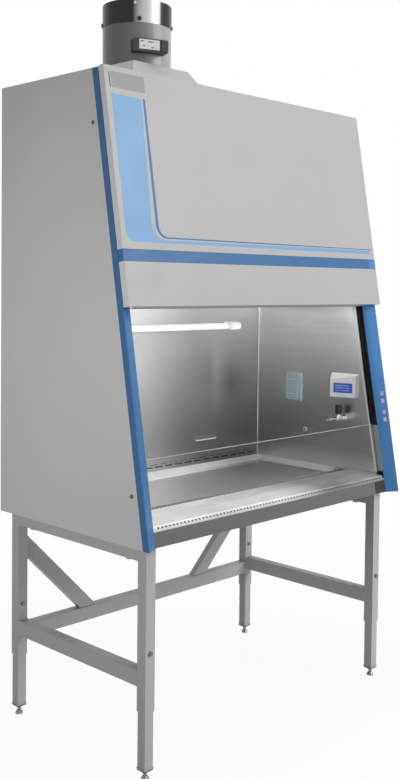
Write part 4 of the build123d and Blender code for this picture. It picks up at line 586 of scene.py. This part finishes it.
def clear_plastic_finish():
    """Clear moulded cover with a soft gloss."""
    f = Finish("clear_plastic", (0.62, 0.74, 0.80), roughness=0.12)
    f.shader.inputs["Alpha"].default_value = 0.50
    f.put(f.span(f.noise(30.0, 3.0), 0.3, 0.7, 0.06, 0.2), "Roughness")
    return f


def tube_with_painted_glow():
    """UV lamp: a pale tube between metal end caps and white sockets; the tube's glow is a painted highlight.
    """
    low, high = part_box("uv_lamp")
    f = Finish("germicidal_tube_painted_glow", (0.88, 0.90, 0.92), roughness=0.12)
    f.shader.inputs["Coat Weight"].default_value = 0.6
    # painted highlight: emission on the tube
    f.shader.inputs["Emission Color"].default_value = (0.95, 0.97, 1.0, 1)
    f.shader.inputs["Emission Strength"].default_value = 0.60
    cap, socket = 0.075, 0.045
    ends = f.math("SUBTRACT", 1.0, f.within("X", low.x + cap, high.x - cap))
    sleeve = f.math("SUBTRACT", 1.0, f.within("X", low.x + socket, high.x - socket))
    tone = f.mix(ends, (0.93, 0.94, 0.95), (0.30, 0.30, 0.30))
    f.put(f.mix(sleeve, tone, (0.84, 0.84, 0.83)), "Base Color")
    f.put(f.span(f.noise(80.0, 3.0), 0.3, 0.7, 0.08, 0.2), "Roughness")
    return f


def diffuser_finish():
    """White perforated diffuser over the work space."""
    f = painted("diffuser_paint", (0.76, 0.76, 0.75))
    holes = dot_grid(f, "X", "Y", 0.008, 0.0028)
    previous = f.shader.inputs["Base Color"].links[0].from_socket
    f.put(f.mix(holes, previous, (0.05, 0.05, 0.05)), "Base Color")
    return f


def filter_finish():
    """Filter cell: pale pleated media with a fine fibre."""
    f = Finish("filter_media", (0.78, 0.78, 0.75), roughness=0.85)
    fibre = f.noise(600.0, 4.0)
    f.put(f.mix(f.span(fibre, 0.3, 0.7), (0.70, 0.70, 0.67), (0.82, 0.82, 0.80)), "Base Color")
    f.put(f.bump(fibre, 0.4, 0.0006), "Normal")
    return f


def guide_finish():
    """Sash guides and end blocks in satin black."""
    f = painted("guide_black", (0.014, 0.014, 0.016), roughness=0.3)
    sash_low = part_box("sash_frame")[0].z
    bare = f.within("Z", base_z + 0.068, sash_low, 0.001)
    seal = f.shader.inputs["Base Color"].links[0].from_socket
    f.put(f.mix(bare, seal, (0.34, 0.34, 0.34)), "Base Color")
    return f


stand_tubes_lit = stand_with_painted_light()
posts_blue_lit = posts_with_painted_light()
hood_grey_shaded = hood_with_painted_shade()
rear_steel_painted_sheen = rear_wall_with_painted_sheen()
side_steel_painted_sheen = side_walls_with_painted_sheen()
tray_steel_painted_highlight = tray_with_painted_highlight()
grille_steel_painted_sheen = grille_with_painted_sheen()
duct_sheet_painted_highlight = duct_with_painted_highlight()
glass = glass_finish()
clear_plastic = clear_plastic_finish()
germicidal_tube_painted_glow = tube_with_painted_glow()
diffuser_paint = diffuser_finish()
filter_media = filter_finish()
pan_paint = painted("pan_paint", (0.145, 0.145, 0.147), roughness=0.36)
guide_black = guide_finish()

NODE_FINISH = {
    stand_tubes_lit: ["stand_legs", "stand_side_rails", "stand_rear_frame"]
    + [f"leg_inner_{place}" for place in CORNERS],
    bolt_metal: ["stand_bolts"] + [f"foot_{place}" for place in CORNERS],
    zinc: ["panel_hinges", "sync_shaft", "idler_left", "idler_right"],
    pan_paint: ["base_pan"],
    paint_casing: ["side_panel_left", "side_panel_right", "top_panel"],
    hood_grey_shaded: ["exhaust_transition"],
    posts_blue_lit: ["post_left", "post_right", "trim_strip"],
    paint_panel: ["service_panel", "fascia"],
    sheet_zinc: ["rear_panel", "plenum_front", "blower_housing", "control_box"],
    rear_steel_painted_sheen: ["rear_baffle"],
    side_steel_painted_sheen: ["chamber_wall_left", "chamber_wall_right"],
    tray_steel_painted_highlight: ["work_tray"],
    grille_steel_painted_sheen: ["front_grille"],
    diffuser_paint: ["diffuser"],
    filter_media: ["supply_filter", "exhaust_filter"],
    steel_small: ["impeller"],
    paint_motor: ["blower_motor"],
    duct_sheet_painted_highlight: ["duct_stub"],
    germicidal_tube_painted_glow: ["uv_lamp"],
    paint_white: ["work_light"],
    outlet_plastic: ["outlet_plate"],
    clear_plastic: ["outlet_cover"],
    white_plastic: ["monitor_housing"],
    chrome: ["petcock_body"],
    black_plastic: ["petcock_handle", "power_inlet", "flow_sensor"],
    glass: ["sash_glass"],
    paint_black: ["sash_frame"],
    guide_black: ["sash_guides"],
    rubber: ["sash_belts"],
    iron: ["counterweight_left", "counterweight_right"],
    key_plastic: [f"key_{number}" for number in range(1, 5)],
}

for finish, names in NODE_FINISH.items():
    for name in names:
        node = nodes[name]
        node.data.materials.clear()
        node.data.materials.append(finish.material)


# ---------------------------------------------------------------------------
# Front panel artwork and nameplate
# ---------------------------------------------------------------------------
def front_graphics():
    """Two-tone stripe that runs down the left of the service panel and along its foot."""
    pale_blue = painted("stripe_pale", (0.24, 0.46, 0.76), roughness=0.3, coat=0.0, specular=0.2)
    deep_blue = painted("stripe_deep", (0.050, 0.18, 0.42), roughness=0.3, coat=0.0, specular=0.2)

    def place(x, z):
        return x, along(z, PANEL_PROUD)

    left, right, top = -0.628, 0.622, 2.084
    foot, corner = along(1.632, PANEL_PROUD), 0.030
    inner_left, inner_foot, bend = -0.519, along(1.6405, PANEL_PROUD), 0.050
    band = [place(left, top)]
    band += arc((left + corner, foot + corner), corner, 180, 270)
    band += [place(right, 1.630), place(right, 1.643)]
    band += arc((inner_left + bend, inner_foot + bend), bend, 270, 180)
    band.append(place(-0.505, top - 0.004))
    prism("stripe_band", panel, band, DECAL, pale_blue.material, "service_panel", base=-DECAL / 3)

    line_foot, line_top, line_right = along(1.6445, PANEL_PROUD), 2.0815, 0.631
    line = [place(-0.4995, line_top), place(-0.4905, line_top)]
    line += arc((-0.490 + 0.034, line_foot + 0.0405), 0.0345, 180, 270)
    line += [(line_right, line_foot + 0.0040), (line_right, line_foot + 0.0015)]
    line += arc((-0.5025 + 0.043, line_foot + 0.044), 0.0425, 270, 180)
    prism("stripe_line", panel, line, DECAL, deep_blue.material, "service_panel", base=-DECAL / 3)


def nameplate():
    """Bare plate at the panel's upper left, with the thin dark bar beside it."""
    plate = painted("plate_face", (0.29, 0.315, 0.305), roughness=0.35)
    tall = 0.050
    outline = rounded(-0.554, along(2.1265, PANEL_PROUD), 0.134, tall, 0.002)
    prism("nameplate", panel, outline, 0.0012, plate.material, "service_panel", bevel=0.0004, base=-SEAT)
    bar = rounded(-0.6285, along(2.1245, PANEL_PROUD), 0.0035, tall, 0.0012)
    prism("nameplate_bar", panel, bar, 0.0008, black_plastic.material, "service_panel", base=-SEAT)


# ---------------------------------------------------------------------------
# Screws, plugs and other small fittings. Numbers along a wall or a panel are metres on its sheet.
# ---------------------------------------------------------------------------
def domed_screw(name, sheet, radius, material, body):
    """Domed head with a cross recess shown as a shallow dimple."""
    rise = radius * 0.55
    profile = [(radius, -SEAT), (radius, rise * 0.25), (radius * 0.86, rise * 0.75), (radius * 0.55, rise)]
    profile += [(radius * 0.36, rise), (radius * 0.26, rise * 0.45), (0, rise * 0.40)]
    return lathe(name, sheet, profile, material.material, body, sides=20)


def casing_screws():
    """Screws that hold the side panels, the rear skin and the roof."""
    big, small = 0.0065, 0.0045
    side_spots = ((0.110, 1.997), (0.302, 0.874))
    for number, (forward, z) in enumerate(side_spots):
        domed_screw(f"side_screw_left_{number}", left_side.shifted(forward, z), big, dark_metal, "cabinet")
        domed_screw(f"side_screw_right_{number}", right_side.shifted(-forward, z), big, dark_metal, "cabinet")
    rows, end, inset = 7, 0.04, 0.016
    for row in range(rows):
        z = base_z + end + row * (top_z - base_z - 2 * end) / (rows - 1)
        for letter, side in SIDES.items():
            sheet = back_side.shifted(side * (half_width - inset), z)
            domed_screw(f"rear_screw_{row}_{letter}", sheet, small, zinc, "cabinet")
    roof = Sheet((0, 0, top_z), (1, 0, 0), (0, 1, 0))
    low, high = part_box("top_panel")
    count, end, inset = 6, 0.05, 0.012
    for number in range(count):
        x = low.x + end + number * (high.x - low.x - 2 * end) / (count - 1)
        domed_screw(f"roof_screw_{number}", roof.shifted(x, high.y - inset), small, zinc, "cabinet")


def duct_fittings():
    """Four screws round the stub's foot and the small hole near its rim."""
    screw_z, rivet_z = stub_low.z + 0.013, stub_high.z - 0.012
    first_screw, rivet_turn = -38.0, -135.0
    for number in range(4):
        turn = radians(first_screw + 90 * number)
        out = Vector((cos(turn), sin(turn), 0))
        sheet = Sheet(Vector((duct_x, duct_y, screw_z)) + out * duct_r, UP, UP.cross(out))
        sheet.normal = out
        domed_screw(f"duct_screw_{number}", sheet, 0.0085, paint_black, "cabinet")
    turn = radians(rivet_turn)
    out = Vector((cos(turn), sin(turn), 0))
    rivet = Sheet(Vector((duct_x, duct_y, rivet_z)) + out * duct_r, UP.cross(out), UP)
    profile = [(0.0050, -SEAT), (0.0048, 0.0008), (0.0030, 0.0016), (0, 0.0018)]
    lathe("duct_rim_rivet", rivet, profile, white_plastic.material, "cabinet", sides=16)


def weld_beads():
    """Fillet welds where the stand's rails meet the legs."""
    low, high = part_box("stand_side_rails")
    for letter, side in SIDES.items():
        x0, x1 = sorted((side * (high.x - STAND_TUBE), side * high.x))
        for z0 in (low.z, high.z - RAIL_HEIGHT):
            z1 = z0 + RAIL_HEIGHT
            for end, y in (("f", low.y), ("r", high.y)):
                loop = [(x0, y, z0), (x1, y, z0), (x1, y, z1), (x0, y, z1)]
                name = f"weld_{letter}_{int(z0 * 1000)}_{end}"
                swept(name, loop, 0.0016, stand_tubes_lit.material, "cabinet", cyclic=True)


def monitor_details():
    """Backlit display with plain bars on the monitor's slanted face."""
    low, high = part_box("monitor_housing")
    rear = Vector((low.x, high.y - 0.024, low.z))
    fore = Vector((high.x - 0.015, low.y + 0.004, low.z))
    face = Sheet((rear + fore) / 2 + Vector((0, 0, 0.036)), fore - rear, (0, 0, 1))
    display = moulded("display", (0.05, 0.10, 0.44), 0.18, 0.02)
    display.shader.inputs["Emission Color"].default_value = (0.05, 0.10, 0.44, 1)
    display.shader.inputs["Emission Strength"].default_value = 0.25
    marks = moulded("display_marks", (0.30, 0.42, 0.80), 0.3, 0.02)
    width = (fore - rear).length - 0.028
    depth, thick = 0.002, 0.0012
    prism("monitor_display", face, rounded(0, 0, width, 0.038, 0.0015), thick, display.material, "cabinet",
          base=-depth - SEAT)
    bars = ((-0.004, 0.009, 0.056, 0.004), (-0.014, 0.0, 0.034, 0.004),
            (0.017, 0.0, 0.016, 0.004), (-0.004, -0.010, 0.056, 0.003))
    for number, (a, b, w, h) in enumerate(bars):
        prism(f"monitor_bar_{number}", face, rounded(a, b, w, h, 0.001), DECAL + SEAT, marks.material,
              "cabinet", base=-thick - SEAT)


def outlet_details():
    """Moulded bead and two ribs on the outlet's clear cover."""
    low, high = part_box("outlet_cover")
    middle_y, middle_z = (low.y + high.y) / 2, (low.z + high.z) / 2
    cover = Sheet((low.x, middle_y, middle_z), (0, -1, 0), (0, 0, 1))
    wide, tall, rise = 0.066, 0.106, 0.0008
    margin, bead = 0.012, 0.006
    shift = (high.y - low.y - wide) / 2
    outer = rounded(shift, 0, wide - margin, tall - margin, 0.005)
    inner = rounded(shift, 0, wide - margin - bead, tall - margin - bead, 0.003)
    ring("outlet_cover_bead", cover, outer, inner, rise + SEAT, clear_plastic.material, "outlet_cover",
         base=-SEAT)
    for number, b in enumerate((-0.030, 0.030)):
        prism(f"outlet_cover_rib_{number}", cover, rounded(shift, b, 0.030, 0.003, 0.0012), rise + SEAT,
              outlet_plastic.material, "outlet_cover", base=-SEAT)


def wall_plugs():
    """Plugs in the service holes of both chamber walls."""
    plug_z, port = 1.363, (0.044, 0.918)
    profile = [(0.0058, -SEAT), (0.0058, 0.0020), (0.0044, 0.0038), (0, 0.0042)]
    for number, y in enumerate((0.140, 0.115, 0.101, 0.081)):
        for letter, sheet, across in (("r", right_wall, -y), ("l", left_wall, y)):
            lathe(f"wall_plug_{letter}_{number}", sheet.shifted(across, plug_z), profile,
                  white_plastic.material, "cabinet", sides=16)
    profile = [(0.011, -SEAT), (0.011, 0.0012), (0.009, 0.0028)]
    profile += [(0.0045, 0.0032), (0.0035, 0.0016), (0, 0.0014)]
    for letter, sheet, across in (("r", right_wall, -port[0]), ("l", left_wall, port[0])):
        lathe(f"port_plug_{letter}", sheet.shifted(across, port[1]), profile, steel_small.material, "cabinet")


def baffle_pull():
    """Bar on a backing plate that the rear baffle is lifted by."""
    plate = rounded(0.279, 0.886, 0.116, 0.018, 0.003)
    prism("baffle_pull_plate", back_wall, plate, 0.0010 + SEAT, pull_grey.material, "cabinet", base=-SEAT)
    reach = [(0.224, 0.0), (0.225, 0.009), (0.228, 0.012), (0.330, 0.012), (0.333, 0.009), (0.334, 0.0)]
    bar = [back_wall.at(a, 0.880, out) for a, out in reach]
    swept("baffle_pull_bar", bar, 0.0024, bright_trim.material, "cabinet")


def wall_edges():
    """Strip down the front edge of each chamber wall, painted pale as a painted highlight along the edge."""
    foot, head, thick = 0.789, 1.440, 0.0012 + SEAT
    edge = [(0.3045, foot), (0.3105, foot), (0.1858, head), (0.1798, head)]
    mirrored = [(-a, b) for a, b in edge]
    for letter, sheet, outline in (("r", right_wall, edge), ("l", left_wall, mirrored)):
        prism(f"wall_edge_{letter}", sheet, outline, thick, bright_trim.material, "cabinet", base=-SEAT)


def baffle_shade():
    """Black sheet behind the rear baffle's slots: a painted shadow for the dark space behind them."""
    shade = painted("plenum_painted_shadow", (0.012, 0.012, 0.013), roughness=0.8)
    thick = 0.0006
    slots = Sheet((0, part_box("rear_baffle")[1].y + thick, 0), (1, 0, 0), UP)
    outline = rounded(0, 0.802, 1.190, 0.030, 0.001)
    prism("baffle_slot_shade", slots, outline, -thick, shade.material, "cabinet")


def corner_beads():
    """Bead in each rear corner of the chamber."""
    bead, gap = 0.0022, 0.002
    low_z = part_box("work_tray")[1].z + gap
    high_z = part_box("diffuser")[0].z - gap
    for letter, side in SIDES.items():
        x, y = side * (wall_x - bead), baffle_y - bead
        swept(f"corner_bead_{letter}", [(x, y, low_z), (x, y, high_z)], bead, chrome.material, "cabinet")


def sash_details():
    """Ground lower edge of the glass."""
    glass_low, glass_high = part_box("sash_glass")
    mesh = nodes["sash_glass"].data
    edge = sorted((vertex.co for vertex in mesh.vertices), key=lambda spot: spot.dot(up_slope))[:4]
    y = sum(spot.y for spot in edge) / 4
    z = sum(spot.z for spot in edge) / 4
    ground = moulded("ground_edge", (0.55, 0.57, 0.56), 0.4)
    short, rise = 0.002, 0.0018
    line = [(glass_low.x + short, y, z + rise), (glass_high.x - short, y, z + rise)]
    swept("sash_ground_edge", line, 0.0010, ground.material, "sash")


def post_legends():
    """Column of faint marks beside the keys."""
    mark = moulded("legend_violet", (0.12, 0.08, 0.32), 0.4)
    column, first_z, pitch = 0.6155, 1.148, 0.0235
    for number in range(9):
        outline = rounded(column, along(first_z - number * pitch), 0.007, 0.008, 0.001)
        prism(f"legend_{number}", front, outline, DECAL * 2, mark.material, "cabinet", base=-DECAL / 3)


def sensor_details():
    """White label with plain marks and a dark connector block on the flow sensor."""
    face = face_sheet("flow_sensor", (-0.35, -0.94, 0))
    label = moulded("sensor_label", (0.78, 0.78, 0.79), 0.4, 0.02)
    ink = moulded("sensor_ink", (0.14, 0.14, 0.15), 0.5, 0.02)
    outline = rounded(-0.008, 0.002, 0.076, 0.034, 0.001)
    prism("sensor_label", face, outline, DECAL * 2, label.material, "cabinet", base=-DECAL / 3)
    spots = ((-0.036, 0.012, 0.010), (-0.029, -0.004, 0.008), (-0.004, 0.011, 0.020), (0.004, -0.008, 0.009))
    for number, (a, b, w) in enumerate(spots):
        prism(f"sensor_mark_{number}", face, rounded(a, b, w, 0.004, 0.001), DECAL, ink.material, "cabinet",
              base=DECAL)
    outline = rounded(0.048, 0.0, 0.026, 0.038, 0.002)
    prism("sensor_block", face, outline, 0.004, black_plastic.material, "cabinet", bevel=0.0006, base=-SEAT)


def leg_caps():
    """Black end plugs under the inner legs, round the feet's studs."""
    thick, hole, corner = 0.0032, 0.018, 0.003
    for place in CORNERS:
        low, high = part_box(f"leg_inner_{place}")
        middle = (low + high) / 2
        under = Sheet((middle.x, middle.y, low.z), (1, 0, 0), (0, 1, 0))
        side = high.x - low.x
        ring(f"leg_cap_{place}", under, rounded(0, 0, side, side, corner), rounded(0, 0, hole, hole, corner),
             thick, rubber.material, f"leg_inner_{place}", base=-thick)


front_graphics()
nameplate()
monitor_details()
outlet_details()
wall_plugs()
baffle_pull()
wall_edges()
baffle_shade()
corner_beads()
sash_details()
post_legends()
sensor_details()
leg_caps()
casing_screws()
duct_fittings()
weld_beads()


# ---------------------------------------------------------------------------
# Floor, light and camera
# ---------------------------------------------------------------------------
def seen_directly(tree):
    """1 for rays from the camera, from a mirror image or through glass, 0 for light on the object."""
    path = tree.nodes.new("ShaderNodeLightPath")
    result = path.outputs["Is Camera Ray"]
    for ray in ("Is Glossy Ray", "Is Transmission Ray"):
        either = tree.nodes.new("ShaderNodeMath")
        either.operation = "MAXIMUM"
        tree.links.new(result, either.inputs[0])
        tree.links.new(path.outputs[ray], either.inputs[1])
        result = either.outputs[0]
    return result


def floor_piece():
    """Pale floor that keeps the object's shadow and turns white further out."""
    reach, below = 12, 0.0006
    mesh = bpy.data.meshes.new("floor")
    square = [(-reach, -reach, 0), (reach, -reach, 0), (reach, reach, 0), (-reach, reach, 0)]
    mesh.from_pydata(square, [], [(0, 1, 2, 3)])
    floor = bpy.data.objects.new("floor", mesh)
    floor.location.z = -below
    bpy.context.scene.collection.objects.link(floor)
    f = Finish("floor", (0.80, 0.80, 0.80), roughness=0.9)
    f.put(f.mix(f.noise(3.0), (0.80, 0.80, 0.80), (0.82, 0.82, 0.82)), "Base Color")
    away = f.node("ShaderNodeVectorMath", operation="LENGTH")
    f.link(f.coordinates, away.inputs[0])
    share = f.math("MULTIPLY", seen_directly(f.tree), f.span(away.outputs["Value"], 0.9, 3.0, 0.94, 1.0))
    glow = f.node("ShaderNodeEmission")
    blend = f.node("ShaderNodeMixShader")
    f.link(share, blend.inputs[0])
    f.link(f.shader.outputs[0], blend.inputs[1])
    f.link(glow.outputs[0], blend.inputs[2])
    f.link(blend.outputs[0], f.tree.nodes["Material Output"].inputs["Surface"])
    mesh.materials.append(f.material)


def surround():
    """World that looks white and lights the object only softly."""
    soft_strength = 0.24
    world = bpy.data.worlds.new("surround")
    bpy.context.scene.world = world
    world.use_nodes = True
    tree = world.node_tree
    plain = tree.nodes["Background"]
    white = tree.nodes.new("ShaderNodeBackground")
    for background, strength in ((plain, soft_strength), (white, 1.0)):
        background.inputs["Color"].default_value = (1, 1, 1, 1)
        background.inputs["Strength"].default_value = strength
    blend = tree.nodes.new("ShaderNodeMixShader")
    tree.links.new(seen_directly(tree), blend.inputs[0])
    tree.links.new(plain.outputs[0], blend.inputs[1])
    tree.links.new(white.outputs[0], blend.inputs[2])
    tree.links.new(blend.outputs[0], tree.nodes["World Output"].inputs["Surface"])


def studio():
    """White floor and surround, large soft lamps and a strip lamp in the chamber."""
    floor_piece()
    surround()
    soft_lamp("key_lamp", (3.0, -5.4, 4.0), (0, 0, 1.3), 3.2, 240)
    soft_lamp("fill_lamp", (-3.6, -0.1, 1.30), (0, -0.1, 1.30), 1.0, 5.2, spread=60)
    soft_lamp("top_lamp", (0.0, 0.5, 5.6), (0, 0, 1.0), 3.0, 60)
    soft_lamp("chamber_lamp", (0.0, -0.165, 1.43), (0, 0.08, 0.78), 1.1, 2.0, depth=0.05)


def soft_lamp(name, spot, aim, size, watts, depth=None, spread=180):
    """Area lamp aimed at a point, unseen by the camera; spread in degrees."""
    light = bpy.data.lights.new(name, "AREA")
    light.shape = "RECTANGLE"
    light.size = size
    light.size_y = depth or size
    light.spread = radians(spread)
    light.energy = watts
    lamp = bpy.data.objects.new(name, light)
    lamp.location = spot
    lamp.rotation_euler = (Vector(aim) - Vector(spot)).to_track_quat("-Z", "Y").to_euler()
    lamp.visible_camera = False
    bpy.context.scene.collection.objects.link(lamp)


CAMERA_SPOT = Vector((-2.592488, -2.495922, 1.501087))
CAMERA_YAW, CAMERA_PITCH, CAMERA_ROLL = 0.7918374, -0.0362111, 0.0105012
FOCAL_PX, PICTURE_H = 993.527, 779
AXIS_ROW = 321.649          # picture row that the lens axis meets
SENSOR_H = 36.0             # mm


def camera():
    """Camera to the left of the cabinet's front, at head height."""
    yaw, pitch, roll = CAMERA_YAW, CAMERA_PITCH, CAMERA_ROLL
    ahead = Vector((sin(yaw) * cos(pitch), cos(yaw) * cos(pitch), sin(pitch)))
    level = Vector((cos(yaw), -sin(yaw), 0))
    above = level.cross(ahead)
    right = level * cos(roll) + above * sin(roll)
    up = above * cos(roll) - level * sin(roll)
    lens = bpy.data.cameras.new("camera")
    lens.sensor_fit = "VERTICAL"
    lens.sensor_height = SENSOR_H
    lens.lens = FOCAL_PX * SENSOR_H / PICTURE_H
    lens.shift_y = (AXIS_ROW - PICTURE_H / 2) / PICTURE_H
    view = bpy.data.objects.new("camera", lens)
    basis = Matrix((right, up, -ahead)).transposed().to_4x4()
    basis.translation = CAMERA_SPOT
    view.matrix_world = basis
    bpy.context.scene.collection.objects.link(view)
    bpy.context.scene.camera = view


studio()
camera()
bpy.context.scene.view_settings.view_transform = "Standard"
